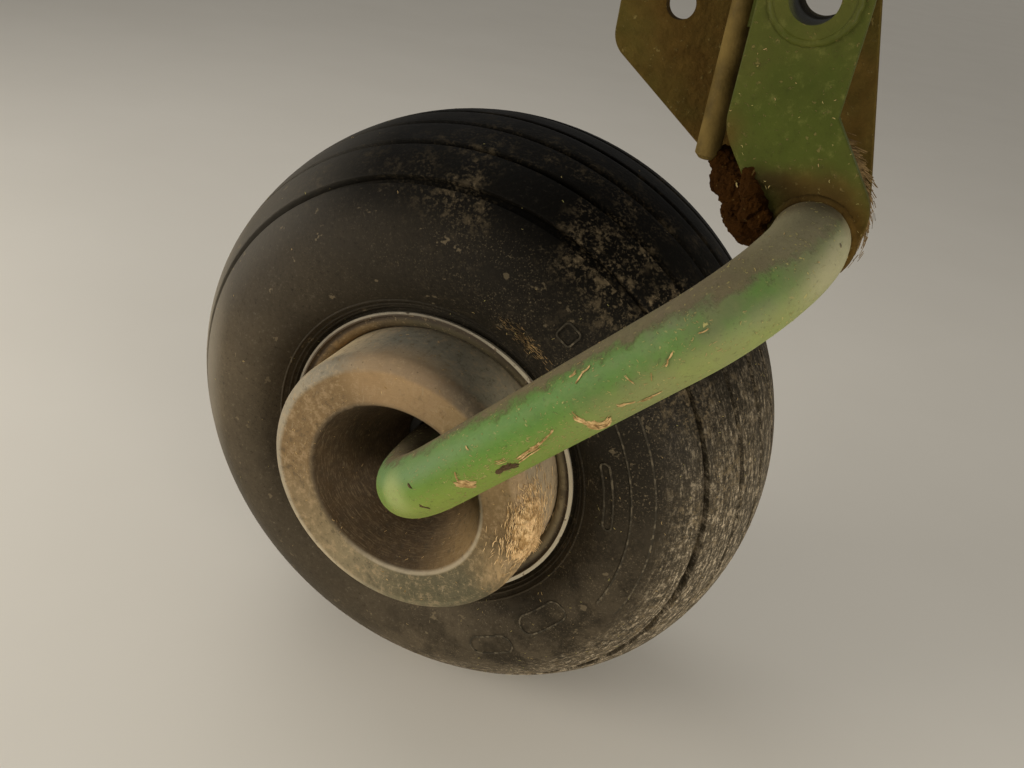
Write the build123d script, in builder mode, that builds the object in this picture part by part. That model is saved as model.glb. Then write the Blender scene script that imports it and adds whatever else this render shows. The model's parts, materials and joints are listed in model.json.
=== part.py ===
from build123d import *
import math
import os

# Support wheel of a hay tedder: a ribbed tyre on a drop-centre rim with a wrap guard,
# turning on a cranked tube leg that is welded into a two-cheek bracket.
# Millimetres. +Z is up, the wheel axis lies along Y and the leg stands on the -Y side.
# The origin is the middle of the bracket's pivot bore.

# Driving sizes: the wheel's place under the pivot
drop = 345.0
setback = 176.0
offset_in = 68.0

# Driving sizes: tyre 18 inch over the tread, for an 8 inch rim 7 inch wide
tyre_od = 457.0
tyre_width = 216.0
tyre_wall = 9.0
tread_depth = 6.0
groove_pitch = 28.3
groove_width = 4.5
groove_edge = 0.9
grooves_each_side = 3
crown_radius = 162.5
crown_half = 57.2
shoulder_inset = 2.5
shoulder_share = 0.5
bead_width = 20.0
bead_over_lip = 1.5
bead_height = 22.0
bead_rings = (3.5, 6.8, 11.5)
ring_height = 0.9

# Driving sizes: rim of one pressed sheet, with its valve
seat_dia = 203.2
rim_width = 177.8
rim_wall = 2.6
rim_bend = 4.0
lip_height = 10.4
lip_curl = 5.0
well_depth = 18.6
well_front = -12.0
well_rear = 42.0
well_slope = 12.0
valve_dia = 11.0
valve_inside = 6.0
valve_length = 40.0
valve_foot = 8.0
valve_neck = 10.0
valve_waist = 2.0

# Driving sizes: wheel disc, hub and its cap
disc_thick = 5.0
disc_face = 6.0
disc_bend = 8.0
hub_dia = 60.0
hub_front = -66.0
hub_rear = 40.0
hub_root = 6.0
hub_edge = 1.5
hub_flange_dia = 130.0
hub_flange = 9.0
cap_length = 22.0
cap_wall = 2.0
cap_bend = 6.0
cap_room = 8.0

# Driving sizes: wheel studs and nuts
stud_circle_dia = 100.0
stud_count = 4
stud_dia = 12.0
stud_head = 4.0
stud_head_dia = 17.0
stud_proud = 5.0
nut_flats = 19.0
nut_height = 11.0
nut_bevel = 1.2

# Driving sizes: spindle
spindle_dia = 30.0
thread_dia = 24.0
thread_length = 14.0
thread_edge = 1.5
plug_length = 15.0
collar = 8.0

# Driving sizes: wrap guard that stands out in front of the rim
guard_out = 51.0
guard_base = 50.0
guard_wall = 3.0
guard_round = 10.5
guard_mouth = 130.0
guard_neck = 56.0
guard_lip = 5.0

# Driving sizes: cranked tube leg
tube_od = 42.4
tube_wall = 4.0
low_bend = 72.0
high_bend = 60.0
leg_rise = 229.0
leg_reach = 208.0
tube_proud = 2.0

# Driving sizes: bracket cheeks
cheek_thick = 8.0
cheek_gap = 40.0
cheek_width = 54.8
cheek_edge = 0.8
eye_front = 3.3
eye_rear = 5.6
strap_lean = 36.5
strap_shift = 6.7
strap_raise = 12.4
lobe_margin = 35.0
lobe_top = 38.0
lobe_round = 16.0
lobe_slope = 35.3
adjust_reach = 75.0
adjust_spacing = 40.0
adjust_hole_dia = 17.0

# Driving sizes: pivot bush, web and rod between the cheeks
bush_od = 40.0
bush_bore = 25.1
bush_proud = 3.0
bush_edge = 1.0
web_thick = 8.0
web_height = 40.0
web_space = 2.0
rod_dia = 14.0
rod_length = 98.0
rod_tip_drop = 94.5
rod_edge = 2.5

# Clearances
moving_gap = 5.2
running = 0.05
seat_gap = 0.1

# Places that follow from the sizes above
wheel_centre = Vector(-setback, offset_in, -drop)
wheel_axis = Axis(tuple(wheel_centre), (0, 1, 0))
section = Plane(origin=tuple(wheel_centre), x_dir=(1, 0, 0), z_dir=(0, 0, 1))
tyre_r = tyre_od / 2
seat_r = seat_dia / 2
lip_r = seat_r + lip_height
well_r = seat_r - well_depth
rim_half = rim_width / 2
rim_face = rim_half + rim_wall
guard_r = seat_r - rim_wall - seat_gap
guard_front = -rim_face - guard_out
tube_r = tube_od / 2
run_y = guard_front - moving_gap - tube_r
tube_end_y = hub_front - moving_gap - collar
leg_eye = Vector(leg_reach - setback, leg_rise - drop)
cheek_out = cheek_gap / 2 + cheek_thick


def at_wheel(x, y, z):
    """A point given from the wheel's centre."""
    return tuple(wheel_centre + Vector(x, y, z))


def across_wheel(y):
    """The plane square to the wheel's axis, y from the wheel's mid-plane."""
    return Plane(origin=at_wheel(0, y, 0), x_dir=(1, 0, 0), z_dir=(0, 1, 0))


def sheet_outline(stations, wall, bends):
    """Draws a bent sheet's section: a line of (radius, y) stations, round bends, its wall on the left."""
    line = FilletPolyline(*stations, radius=bends)
    offset(line, amount=wall, side=Side.LEFT)


# Tyre: crown arc, a tangent shoulder and a tangent sidewall down to the bead
crown_drop = crown_radius - math.sqrt(crown_radius**2 - crown_half**2)


def tyre_outline(shrink, *bead):
    """Draws the section under the tread by shrink, down to its bead's points, and gives its sidewalls."""
    edge_r = tyre_r - shrink - crown_drop
    join_y = tyre_width / 2 - shrink - shoulder_inset
    join_r = seat_r + shoulder_share * (tyre_r - seat_r)
    crown = ThreePointArc((edge_r, -crown_half), (tyre_r - shrink, 0), (edge_r, crown_half))
    feet = []
    walls = []
    for end, side in ((crown @ 0, -1), (crown @ 1, 1)):
        slope = Vector(-crown_half, side * (crown_radius - crown_drop))
        shoulder = TangentArc(end, (join_r, side * join_y), tangent=slope)
        foot = [(radius, side * y) for radius, y in bead]
        walls.append(TangentArc(shoulder @ 1, foot[0], tangent=shoulder % 1))
        Polyline(*foot)
        feet.append(foot[-1])
    Line(*feet)
    return walls


bead_r = seat_r + seat_gap
heel_y = rim_half - seat_gap
outer_bead = ((lip_r + bead_over_lip, rim_half), (bead_r + rim_bend, heel_y), (bead_r, heel_y - rim_bend))
inner_bead = ((seat_r + bead_height, rim_half - bead_width), (bead_r, rim_half - bead_width))
with BuildPart() as tyre:
    with BuildSketch(section):
        with BuildLine():
            walls = tyre_outline(0, *outer_bead)
        make_face()
        for wall in walls:
            for reach in bead_rings:
                with Locations(wall @ (1 - reach / wall.length)):
                    RegularPolygon(ring_height, 4)
    revolve(axis=wheel_axis)
    with BuildSketch(section):
        with BuildLine():
            tyre_outline(tyre_wall + tread_depth, *inner_bead)
        make_face()
    revolve(axis=wheel_axis, mode=Mode.SUBTRACT)

    # Grooves: even bands across the tread, cut down to a section that lies under it
    with BuildSketch(section):
        for index in range(-grooves_each_side, grooves_each_side + 1):
            with Locations((tyre_r, index * groove_pitch)):
                Rectangle(tyre_r - lip_r, groove_width)
        with BuildLine():
            tyre_outline(tread_depth, *outer_bead)
        make_face(mode=Mode.SUBTRACT)
    revolve(axis=wheel_axis, mode=Mode.SUBTRACT)
    rings = tyre.edges(Select.LAST).filter_by(lambda edge: edge.is_closed)
    groove_walls = [pair for pair in rings.group_by(Axis.Y) if len(pair) == 2]
    chamfer([pair.sort_by(SortBy.LENGTH)[-1] for pair in groove_walls], groove_edge)
tyre.part.label = "tyre"

# Rim: one sheet bent into lip, flange, seat, drop centre, seat, flange and lip
lip_y = rim_half + lip_curl
rim_stations = (
    (lip_r, -lip_y),
    (lip_r, -rim_half),
    (seat_r, -rim_half),
    (seat_r, well_front - well_slope),
    (well_r, well_front),
    (well_r, well_rear),
    (seat_r, well_rear + well_slope),
    (seat_r, rim_half),
    (lip_r, rim_half),
    (lip_r, lip_y),
)
valve_r = (seat_r + well_r) / 2
valve_plane = Plane(origin=at_wheel(0, well_rear - valve_inside, valve_r), x_dir=(1, 0, 0), z_dir=(0, 1, 0))
with BuildPart() as rim:
    with BuildSketch(section):
        with BuildLine():
            sheet_outline(rim_stations, rim_wall, rim_bend)
        make_face()
    revolve(axis=wheel_axis)
    with BuildSketch(valve_plane):
        Circle(valve_dia / 2 + seat_gap)
    extrude(amount=valve_length, mode=Mode.SUBTRACT)
rim.part.label = "rim"

# Valve: rubber stem through the rear slope of the rim's well, with its cap
# Steps: radius, length along the wheel's axis
valve_steps = (
    (valve_dia / 2, valve_inside + well_slope + valve_foot),
    (valve_dia / 2 - valve_waist, valve_neck),
    (valve_dia / 2 - valve_waist / 2, valve_neck),
)
with BuildPart() as valve:
    reach = 0
    for radius, length in valve_steps:
        with BuildSketch(valve_plane.offset(reach)):
            Circle(radius)
        extrude(amount=length)
        reach += length
valve.part.label = "valve"

# Wheel disc: flat at the hub, dished back to a flange inside the rim's well
disc_back = disc_face + disc_thick
disc_flat_r = hub_flange_dia / 2
disc_r = well_r - rim_wall - seat_gap
disc_stations = (
    (hub_dia / 2 + seat_gap, disc_face),
    (disc_flat_r, disc_face),
    (disc_r, disc_face + disc_r - disc_flat_r),
    (disc_r, well_rear),
)
stud_first = 180 / stud_count
with BuildPart() as wheel_disc:
    with BuildSketch(section):
        with BuildLine():
            sheet_outline(disc_stations, disc_thick, disc_bend)
        make_face()
    revolve(axis=wheel_axis)
    with BuildSketch(across_wheel(disc_face)):
        with PolarLocations(stud_circle_dia / 2, stud_count, stud_first):
            Circle(stud_dia / 2 + seat_gap)
    extrude(amount=disc_thick, mode=Mode.SUBTRACT)
wheel_disc.part.label = "wheel_disc"

# Hub: barrel bored for the spindle, with a flange in front of the disc
spindle_r = spindle_dia / 2
hub_stations = (
    (spindle_r + running, hub_front),
    (hub_dia / 2, hub_front),
    (hub_dia / 2, disc_face - hub_flange),
    (hub_flange_dia / 2, disc_face - hub_flange),
    (hub_flange_dia / 2, disc_face),
    (hub_dia / 2, disc_face),
    (hub_dia / 2, hub_rear),
    (spindle_r + running, hub_rear),
)
with BuildPart() as hub:
    with BuildSketch(section):
        with BuildLine():
            FilletPolyline(*hub_stations, radius=(hub_edge, hub_root, hub_edge, 0, 0, 0))
            Line(hub_stations[-1], hub_stations[0])
        make_face()
    revolve(axis=wheel_axis)
    with BuildSketch(across_wheel(disc_face)):
        with PolarLocations(stud_circle_dia / 2, stud_count, stud_first):
            Circle(stud_dia / 2 + seat_gap)
    extrude(amount=-hub_flange, mode=Mode.SUBTRACT)
hub.part.label = "hub"

# One wheel nut on its stud, the nut's seat at z = 0
nut_corner = nut_flats / 2 / math.cos(math.pi / 6)
grip = disc_thick + hub_flange
nut_profile = (
    (0, 0),
    (nut_corner, 0),
    (nut_corner, nut_height - nut_bevel),
    (nut_flats / 2, nut_height),
    (0, nut_height),
)
with BuildPart() as nut:
    with BuildSketch():
        RegularPolygon(nut_corner, 6)
    extrude(amount=nut_height)
    with BuildSketch(Plane.XZ):
        with BuildLine():
            Polyline(*nut_profile, close=True)
        make_face()
    revolve(axis=Axis.Z, mode=Mode.INTERSECT)
    with BuildSketch(Plane.XY.offset(-grip)):
        Circle(stud_dia / 2)
    extrude(amount=grip + nut_height + stud_proud)
    with BuildSketch(Plane.XY.offset(-grip)):
        Circle(stud_head_dia / 2)
    extrude(amount=-stud_head)
    chamfer(nut.faces().sort_by(Axis.Z)[-1].edges(), nut_bevel)
    chamfer(nut.faces().sort_by(Axis.Z)[0].edges(), nut_bevel)

# Wheel nuts: the same nut at each place round the stud circle
with BuildPart(across_wheel(disc_back)) as wheel_nuts:
    with PolarLocations(stud_circle_dia / 2, stud_count, stud_first):
        add(nut.part)
wheel_nuts.part.label = "wheel_nuts"

# Hub cap: a pressed cup with a flange on the hub's rear face, over the spindle's end
thread_r = thread_dia / 2
cap_r = thread_r + cap_room + cap_wall
cap_stations = (
    (hub_dia / 2 - cap_wall / 2, hub_rear + cap_wall),
    (cap_r, hub_rear + cap_wall),
    (cap_r, hub_rear + cap_length),
    (0, hub_rear + cap_length),
)
with BuildPart() as hub_cap:
    with BuildSketch(section):
        with BuildLine():
            sheet_outline(cap_stations, cap_wall, (cap_wall, cap_bend))
        make_face()
    revolve(axis=wheel_axis)
hub_cap.part.label = "hub_cap"

# Wrap guard: drum in the rim's seat, rounded front ring and a funnel back to the hub
mouth_r = guard_mouth / 2
neck_r = guard_neck / 2
funnel = math.atan2(mouth_r - neck_r, hub_front - guard_front)
neck_y = hub_front - seat_gap - guard_wall * math.sin(funnel)
guard_stations = (
    (neck_r, neck_y),
    (mouth_r, guard_front),
    (guard_r, guard_front),
    (guard_r, -guard_base),
)
with BuildPart() as wrap_guard:
    with BuildSketch(section):
        with BuildLine():
            sheet_outline(guard_stations, guard_wall, (guard_lip, guard_round))
        make_face()
    revolve(axis=wheel_axis)
wrap_guard.part.label = "wrap_guard"

# Spindle: plug in the leg's tube, collar, running length and threaded end
# Steps: radius, start and end along the wheel's axis
spindle_steps = (
    (tube_r - tube_wall - seat_gap, tube_end_y - plug_length, tube_end_y),
    (tube_r, tube_end_y, tube_end_y + collar),
    (spindle_r, tube_end_y + collar, hub_rear),
    (thread_r, hub_rear, hub_rear + thread_length),
)
with BuildPart() as spindle:
    for radius, start, end in spindle_steps:
        with BuildSketch(across_wheel(start)):
            Circle(radius)
        extrude(amount=end - start)
    chamfer(spindle.faces().sort_by(Axis.Y)[-1].edges(), thread_edge)
spindle.part.label = "spindle"

# Cranked leg: out of the wheel along its axis, up across its face, back into the bracket
crank_stations = (
    at_wheel(0, tube_end_y, 0),
    at_wheel(0, run_y, 0),
    (leg_eye.X, wheel_centre.Y + run_y, leg_eye.Y),
    (leg_eye.X, cheek_out + tube_proud, leg_eye.Y),
)
with BuildPart() as crank_leg:
    with BuildLine():
        FilletPolyline(*crank_stations, radius=(low_bend, high_bend))
    with BuildSketch(Plane(origin=crank_stations[0], x_dir=(1, 0, 0), z_dir=(0, -1, 0))):
        Circle(tube_r)
        Circle(tube_r - tube_wall, mode=Mode.SUBTRACT)
    sweep()
crank_leg.part.label = "crank_leg"

# Bracket cheeks: an eye round the leg on each, and the pivot at the origin of their planes
strap_out = Vector(math.cos(math.radians(strap_lean)), math.sin(math.radians(strap_lean)))
strap_up = Vector(-strap_out.Y, strap_out.X)
strap_foot = leg_eye + strap_out * strap_shift + strap_up * strap_raise
knee = strap_foot + strap_up * (strap_foot.X / strap_out.Y)
pivot = Vector(0, 0)


def strap(start, end):
    """A round-ended strap between two points of the sketch."""
    run = end - start
    middle = (start + end) / 2
    with Locations((middle.X, middle.Y)):
        SlotCenterToCenter(run.length, cheek_width, rotation=math.degrees(math.atan2(run.Y, run.X)))


def cheek_holes():
    """The leg and the pivot bush pass through both cheeks."""
    with Locations((leg_eye.X, leg_eye.Y)):
        Circle(tube_r + seat_gap, mode=Mode.SUBTRACT)
    Circle(bush_od / 2 + seat_gap, mode=Mode.SUBTRACT)


def rims(plate):
    """The edges round both faces of a plate that lies across Y."""
    return [edge for face in plate.faces().filter_by(Axis.Y) for edge in face.outer_wire().edges()]


# Front cheek: a strap that leans from the leg's eye to the knee and stands upright to the pivot
with BuildPart() as cheek_front:
    with BuildSketch(Plane.XZ.offset(cheek_gap / 2)):
        strap(strap_foot, knee)
        strap(knee, pivot)
        with Locations((leg_eye.X, leg_eye.Y)):
            Circle(tube_r + eye_front)
        cheek_holes()
    extrude(amount=cheek_thick)
    chamfer(rims(cheek_front), cheek_edge)
cheek_front.part.label = "cheek_front"

# Rear cheek: a plate drawn tight round the leg's eye, the pivot and two rounded corners
slope = math.radians(lobe_slope)
eye_r = tube_r + eye_rear
lobe_x = lobe_round - adjust_reach - lobe_margin
lobe_fall = (lobe_round - eye_r - math.sin(slope) * (lobe_x - leg_eye.X)) / math.cos(slope)
with BuildPart() as cheek_rear:
    with BuildSketch(Plane.XZ.offset(-cheek_out)):
        with BuildLine():
            CenterArc((leg_eye.X, leg_eye.Y), eye_r, 0, 360)
            CenterArc((0, 0), cheek_width / 2, 0, 360)
            CenterArc((lobe_x, lobe_top - lobe_round), lobe_round, 0, 360)
            CenterArc((lobe_x, leg_eye.Y + lobe_fall), lobe_round, 0, 360)
        make_hull()
        cheek_holes()
        with Locations((-adjust_reach, 0)):
            with GridLocations(0, adjust_spacing, 1, 2):
                Circle(adjust_hole_dia / 2, mode=Mode.SUBTRACT)
    extrude(amount=cheek_thick)
    chamfer(rims(cheek_rear), cheek_edge)
cheek_rear.part.label = "cheek_rear"

# Web between the cheeks, beside the pivot bush
web_x = -bush_od / 2 - web_space - web_thick
with BuildPart() as cheek_web:
    with BuildSketch(Plane.XZ.offset(-cheek_gap / 2)):
        with Locations((web_x + web_thick / 2, 0)):
            Rectangle(web_thick, web_height)
    extrude(amount=cheek_gap)
cheek_web.part.label = "cheek_web"

# Pivot bush through both cheeks
with BuildPart() as pivot_bush:
    with BuildSketch(Plane.XZ.offset(-cheek_out - bush_proud)):
        Circle(bush_od / 2)
        Circle(bush_bore / 2, mode=Mode.SUBTRACT)
    extrude(amount=2 * (cheek_out + bush_proud))
    chamfer(rims(pivot_bush), bush_edge)
pivot_bush.part.label = "pivot_bush"

# Rod: a round bar welded down the web's face, its lower end free
rod_x = web_x - rod_dia / 2 - seat_gap
with BuildPart() as rod:
    with BuildSketch(Plane.XY.offset(-rod_tip_drop)):
        with Locations((rod_x, 0)):
            Circle(rod_dia / 2)
    extrude(amount=rod_length)
    chamfer(rod.faces().sort_by(Axis.Z)[0].edges(), rod_edge)
rod.part.label = "rod"

os.makedirs("parts", exist_ok=True)
for piece in (
    tyre, rim, valve, wheel_disc, hub, wheel_nuts, hub_cap, wrap_guard, spindle,
    crank_leg, cheek_front, cheek_rear, cheek_web, pivot_bush, rod,
):
    export_step(piece.part, "parts/" + piece.part.label + ".step")
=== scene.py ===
# %% [markdown]
# # Dressing a hay tedder's support wheel
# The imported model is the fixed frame: a tyre, its rim and guard, a cranked leg and a bracket of two plates.
# This file adds what the eye reads: tread rubber, worn paint, dust, mud and straw. Everything is in metres,
# in the model's own frame, so a new piece goes where the frame says. The frame comes first, because every
# later step measures from it.

import json
import math
import random

import bpy
from mathutils import Matrix, Vector
from mathutils.bvhtree import BVHTree


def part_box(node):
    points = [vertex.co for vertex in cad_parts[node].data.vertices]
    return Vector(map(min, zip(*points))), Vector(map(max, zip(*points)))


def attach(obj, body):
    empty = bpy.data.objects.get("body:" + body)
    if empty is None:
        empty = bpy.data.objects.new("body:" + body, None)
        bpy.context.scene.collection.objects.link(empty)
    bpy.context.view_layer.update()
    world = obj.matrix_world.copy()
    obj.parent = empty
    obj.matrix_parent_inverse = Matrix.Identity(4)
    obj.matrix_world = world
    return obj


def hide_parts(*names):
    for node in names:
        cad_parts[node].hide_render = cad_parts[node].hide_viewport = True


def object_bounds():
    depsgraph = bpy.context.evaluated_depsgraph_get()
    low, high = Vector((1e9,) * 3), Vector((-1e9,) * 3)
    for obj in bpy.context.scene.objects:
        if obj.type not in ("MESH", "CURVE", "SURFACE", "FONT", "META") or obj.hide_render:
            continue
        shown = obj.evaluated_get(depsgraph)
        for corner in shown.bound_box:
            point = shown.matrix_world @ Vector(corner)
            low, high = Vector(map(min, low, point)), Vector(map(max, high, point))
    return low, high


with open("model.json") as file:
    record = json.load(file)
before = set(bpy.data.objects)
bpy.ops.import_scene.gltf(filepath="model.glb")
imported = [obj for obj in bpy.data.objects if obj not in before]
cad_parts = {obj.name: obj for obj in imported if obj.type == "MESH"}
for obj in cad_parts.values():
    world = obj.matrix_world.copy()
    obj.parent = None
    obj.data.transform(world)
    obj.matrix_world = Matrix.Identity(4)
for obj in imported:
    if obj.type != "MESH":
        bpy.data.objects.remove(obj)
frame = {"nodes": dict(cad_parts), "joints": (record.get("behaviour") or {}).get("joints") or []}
cad_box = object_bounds()
nodes = frame["nodes"]
wheel_centre = Vector(frame["joints"][0]["pos_m"])
print("nodes:", sorted(nodes))
print("wheel centre:", tuple(wheel_centre))

# %% [markdown]
# ## The camera
# The photograph looks down at the wheel from the leg's side, with the camera held a little askew. Its place
# was worked out from the circles of the rim, the tread and the guard, which are ellipses in the picture: one
# camera fits them all. Three directions and a distance say it, and a lens of 32.5 mm on a 36 mm sensor.

# %% Camera at the photograph's angle
camera_right = Vector((0.909, 0.387, 0.146))
camera_forward = Vector((-0.277, 0.827, -0.493)).normalized()
camera_right = (camera_right - camera_forward * camera_right.dot(camera_forward)).normalized()
camera_up = camera_right.cross(camera_forward)
camera_place = wheel_centre + Vector((0.224, -0.598, 0.383))
camera_lens = 32.48
sensor_width = 36.0

camera = bpy.data.objects.new("camera", bpy.data.cameras.new("camera"))
bpy.context.scene.collection.objects.link(camera)
turn = Matrix((camera_right, camera_up, -camera_forward)).transposed().to_4x4()
camera.matrix_world = Matrix.Translation(camera_place) @ turn
camera.data.lens = camera_lens
camera.data.sensor_width = sensor_width
camera.data.clip_start = 0.02
bpy.context.scene.camera = camera
print("camera at", tuple(round(value, 3) for value in camera_place))

# %% [markdown]
# ## Floor and light
# A plain pale floor under the tyre and soft lamps keep the eye on the part. One large lamp stands for the
# sky and a weak one for the light that the bright ground throws back at the wheel's lower right side. The
# floor reaches so far that its end lies above the picture, and the world behind it has the same pale colour.

# %% Floor, lamps and world
scene = bpy.context.scene
scene.view_settings.view_transform = "Standard"
floor_level = cad_box[0][2]
floor_reach = 120

bpy.ops.object.select_all(action="DESELECT")
bpy.ops.mesh.primitive_plane_add(size=floor_reach, location=(0, 0, floor_level - 0.0005))
floor = bpy.context.object
floor.name = "floor"

world = bpy.data.worlds.new("studio")
world.use_nodes = True
world.node_tree.nodes["Background"].inputs["Color"].default_value = (1.0, 0.97, 0.92, 1)
world.node_tree.nodes["Background"].inputs["Strength"].default_value = 0.3
scene.world = world


def add_lamp(name, place, size, power, colour):
    """A square area lamp that points at the wheel."""
    lamp = bpy.data.objects.new(name, bpy.data.lights.new(name, "AREA"))
    scene.collection.objects.link(lamp)
    lamp.data.size = size
    lamp.data.energy = power
    lamp.data.color = colour
    lamp.location = wheel_centre + Vector(place)
    aim = wheel_centre - lamp.location
    lamp.rotation_euler = aim.to_track_quat("-Z", "Y").to_euler()
    return lamp


add_lamp("sky_lamp", (-1.3, 0.6, 1.9), 1.4, 8, (1.0, 0.98, 0.95))
add_lamp("left_lamp", (-1.7, -1.2, 0.3), 1.1, 36, (1.0, 0.95, 0.87))
add_lamp("right_lamp", (1.6, -1.2, 0.1), 0.9, 26, (1.0, 0.95, 0.86))
print("floor at", round(floor_level, 4))

# %% [markdown]
# ## A short way to write shader maths
# A finish is many small sums: noise times a mask, plus another noise. Written with raw nodes they fill pages.
# So one small class wraps a socket and gives it plus, minus and times, and one method adds any other node.
# The sums then read like sums.

# %% Sockets that can be added and multiplied


class Wire:
    """One output socket of a finish, with arithmetic that adds Math nodes."""

    def __init__(self, finish, socket):
        self.finish = finish
        self.socket = socket

    def _sum(self, operation, first, second):
        return self.finish.maths(operation, first, second)

    def __add__(self, other):
        return self._sum("ADD", self, other)

    def __radd__(self, other):
        return self._sum("ADD", other, self)

    def __sub__(self, other):
        return self._sum("SUBTRACT", self, other)

    def __rsub__(self, other):
        return self._sum("SUBTRACT", other, self)

    def __mul__(self, other):
        return self._sum("MULTIPLY", self, other)

    def __rmul__(self, other):
        return self._sum("MULTIPLY", other, self)

    def most(self, other):
        """The larger of two values."""
        return self._sum("MAXIMUM", self, other)

    def capped(self):
        """The value kept between 0 and 1."""
        return self.finish.maths("MULTIPLY", self, 1, clamp=True)


# %% [markdown]
# ## A finish
# Each finish is one material. Its patterns read the point's own place in metres, so dust can lie where it
# lies on the real wheel: on top of the leg, in the guard's mouth, round the rim. The helper's methods are the
# few patterns that worn paint and rubber need: clouds, spots, a soft step, and the distance from the axle.

# %% Helpers for finishes


class Finish:
    """A material: its Principled shader and the nodes that feed it."""

    def __init__(self, name, **constants):
        self.material = bpy.data.materials.new(name)
        self.material.use_nodes = True
        self.tree = self.material.node_tree
        self.shader = self.tree.nodes["Principled BSDF"]
        for socket, value in constants.items():
            self.shader.inputs[socket.replace("_", " ")].default_value = value
        self.base = None
        self._places = None

    def node(self, kind, settings=None, output=0, **sockets):
        """Adds one node: its settings first, then values or wires on its inputs by name or number."""
        made = self.tree.nodes.new(kind)
        for key, value in (settings or {}).items():
            setattr(made, key, value)
        for name, value in sockets.items():
            socket = made.inputs[int(name) if name.isdigit() else name.replace("_", " ")]
            if isinstance(value, Wire):
                self.tree.links.new(value.socket, socket)
            else:
                socket.default_value = value
        return Wire(self, made.outputs[output])

    def maths(self, operation, *values, clamp=False):
        """A sum of numbers or wires."""
        wires = {str(index): value for index, value in enumerate(values)}
        return self.node("ShaderNodeMath", {"operation": operation, "use_clamp": clamp}, **wires)

    def vector(self, operation, *values, output=0):
        """A sum of vectors or wires; output 1 gives the number that lengths and dot products come to."""
        wires = {str(index): value for index, value in enumerate(values)}
        return self.node("ShaderNodeVectorMath", {"operation": operation}, output, **wires)

    def places(self):
        """The point being shaded, in the frame's metres."""
        if self._places is None:
            self._places = self.node("ShaderNodeTexCoord", output=3)
        return self._places

    def stretched(self, across, along, up):
        """The shaded point with its coordinates scaled, for streaks."""
        return self.vector("MULTIPLY", self.places(), (across, along, up))

    def clouds(self, scale, detail=4.0, rough=0.55, where=None):
        """Cloudy noise from 0 to 1; scale is the number of clouds in a metre."""
        where = where or self.places()
        return self.node("ShaderNodeTexNoise", Vector=where, Scale=scale, Detail=detail, Roughness=rough)

    def step(self, value, low, high):
        """0 below low, 1 above high, smooth between; low may be the larger."""
        settings = {"interpolation_type": "SMOOTHSTEP"}
        return self.node("ShaderNodeMapRange", settings, Value=value, From_Min=low, From_Max=high)

    def patches(self, scale, low, high, detail=4.0, where=None):
        """Cloudy noise cut to patches: 0 outside, 1 inside."""
        return self.step(self.clouds(scale, detail, 0.6, where), low, high)

    def spots(self, scale, inner, outer):
        """Round spots: 1 inside, 0 outside."""
        reach = self.node("ShaderNodeTexVoronoi", Vector=self.places(), Scale=scale)
        return self.step(reach, outer, inner)

    def mix(self, factor, first, second):
        """Colour first where the factor is 0, second where it is 1."""
        first, second = (hue if isinstance(hue, Wire) else (*hue, 1) for hue in (first, second))
        return self.node("ShaderNodeMix", {"data_type": "RGBA"}, 2, **{"0": factor, "6": first, "7": second})

    def coat(self, factor, colour):
        """One more colour over the base, where the factor says."""
        self.base = self.mix(factor, self.base, colour)

    def axis(self, index):
        """One coordinate of the shaded point."""
        return self.node("ShaderNodeSeparateXYZ", output=index, Vector=self.places())

    def facing(self, direction):
        """How far the surface faces a direction: 1 straight at it, -1 away."""
        normal = self.node("ShaderNodeNewGeometry", output=1)
        return self.vector("DOT_PRODUCT", normal, tuple(direction), output=1)

    def distance(self, point, scale=(1, 1, 1)):
        """Metres from one point, with each axis scaled first."""
        offset = self.vector("SUBTRACT", self.places(), tuple(point))
        return self.vector("LENGTH", self.vector("MULTIPLY", offset, scale), output=1)

    def from_axle(self):
        """Metres from the wheel's axis."""
        return self.distance(wheel_centre, (1, 0, 1))

    def round_axle(self, stops):
        """A colour that changes round the axle: (degrees from +X towards +Z, colour), the first at -180."""
        offset = self.vector("SUBTRACT", self.places(), tuple(wheel_centre))
        across = self.node("ShaderNodeSeparateXYZ", output=0, Vector=offset)
        up = self.node("ShaderNodeSeparateXYZ", output=2, Vector=offset)
        ramp = self.node("ShaderNodeValToRGB", Fac=self.maths("ARCTAN2", up, across) * (0.5 / math.pi) + 0.5)
        elements = ramp.socket.node.color_ramp.elements
        elements[0].color = (*stops[0][1], 1)
        elements[-1].color = (*stops[0][1], 1)
        for degrees, colour in stops[1:]:
            elements.new(degrees / 360 + 0.5).color = (*colour, 1)
        return ramp

    def brushed(self, fine):
        """Coordinates for streaks that run round the axle; fine is how many streaks to a metre of radius."""
        offset = self.vector("SUBTRACT", self.places(), tuple(wheel_centre))
        round_way = self.vector("NORMALIZE", self.vector("MULTIPLY", offset, (1, 0, 1)))
        across = self.from_axle() * fine + self.axis(1) * fine
        return self.vector("ADD", round_way, self.node("ShaderNodeCombineXYZ", Y=across))

    def feed(self, socket, wire):
        """Joins a wire to the shader."""
        self.tree.links.new(wire.socket, self.shader.inputs[socket])

    def paint(self, *pieces):
        """Gives this finish to nodes of the frame, by name, or to new pieces."""
        for piece in pieces:
            piece = nodes[piece] if isinstance(piece, str) else piece
            piece.data.materials.clear()
            piece.data.materials.append(self.material)

    def dress(self, colour, height, depth, *pieces, rough=None):
        """Joins colour, bumps (their depth in metres) and roughness to the shader, and paints pieces."""
        self.feed("Base Color", colour)
        self.feed("Normal", self.node("ShaderNodeBump", Height=height, Distance=depth))
        if rough is not None:
            self.feed("Roughness", rough)
        self.paint(*pieces)


print("shader helpers ready")

# %% [markdown]
# ## Floor finish
# The floor is pale sand colour with faint clouds, so that it reads as a surface and not as a cut-out.

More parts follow.
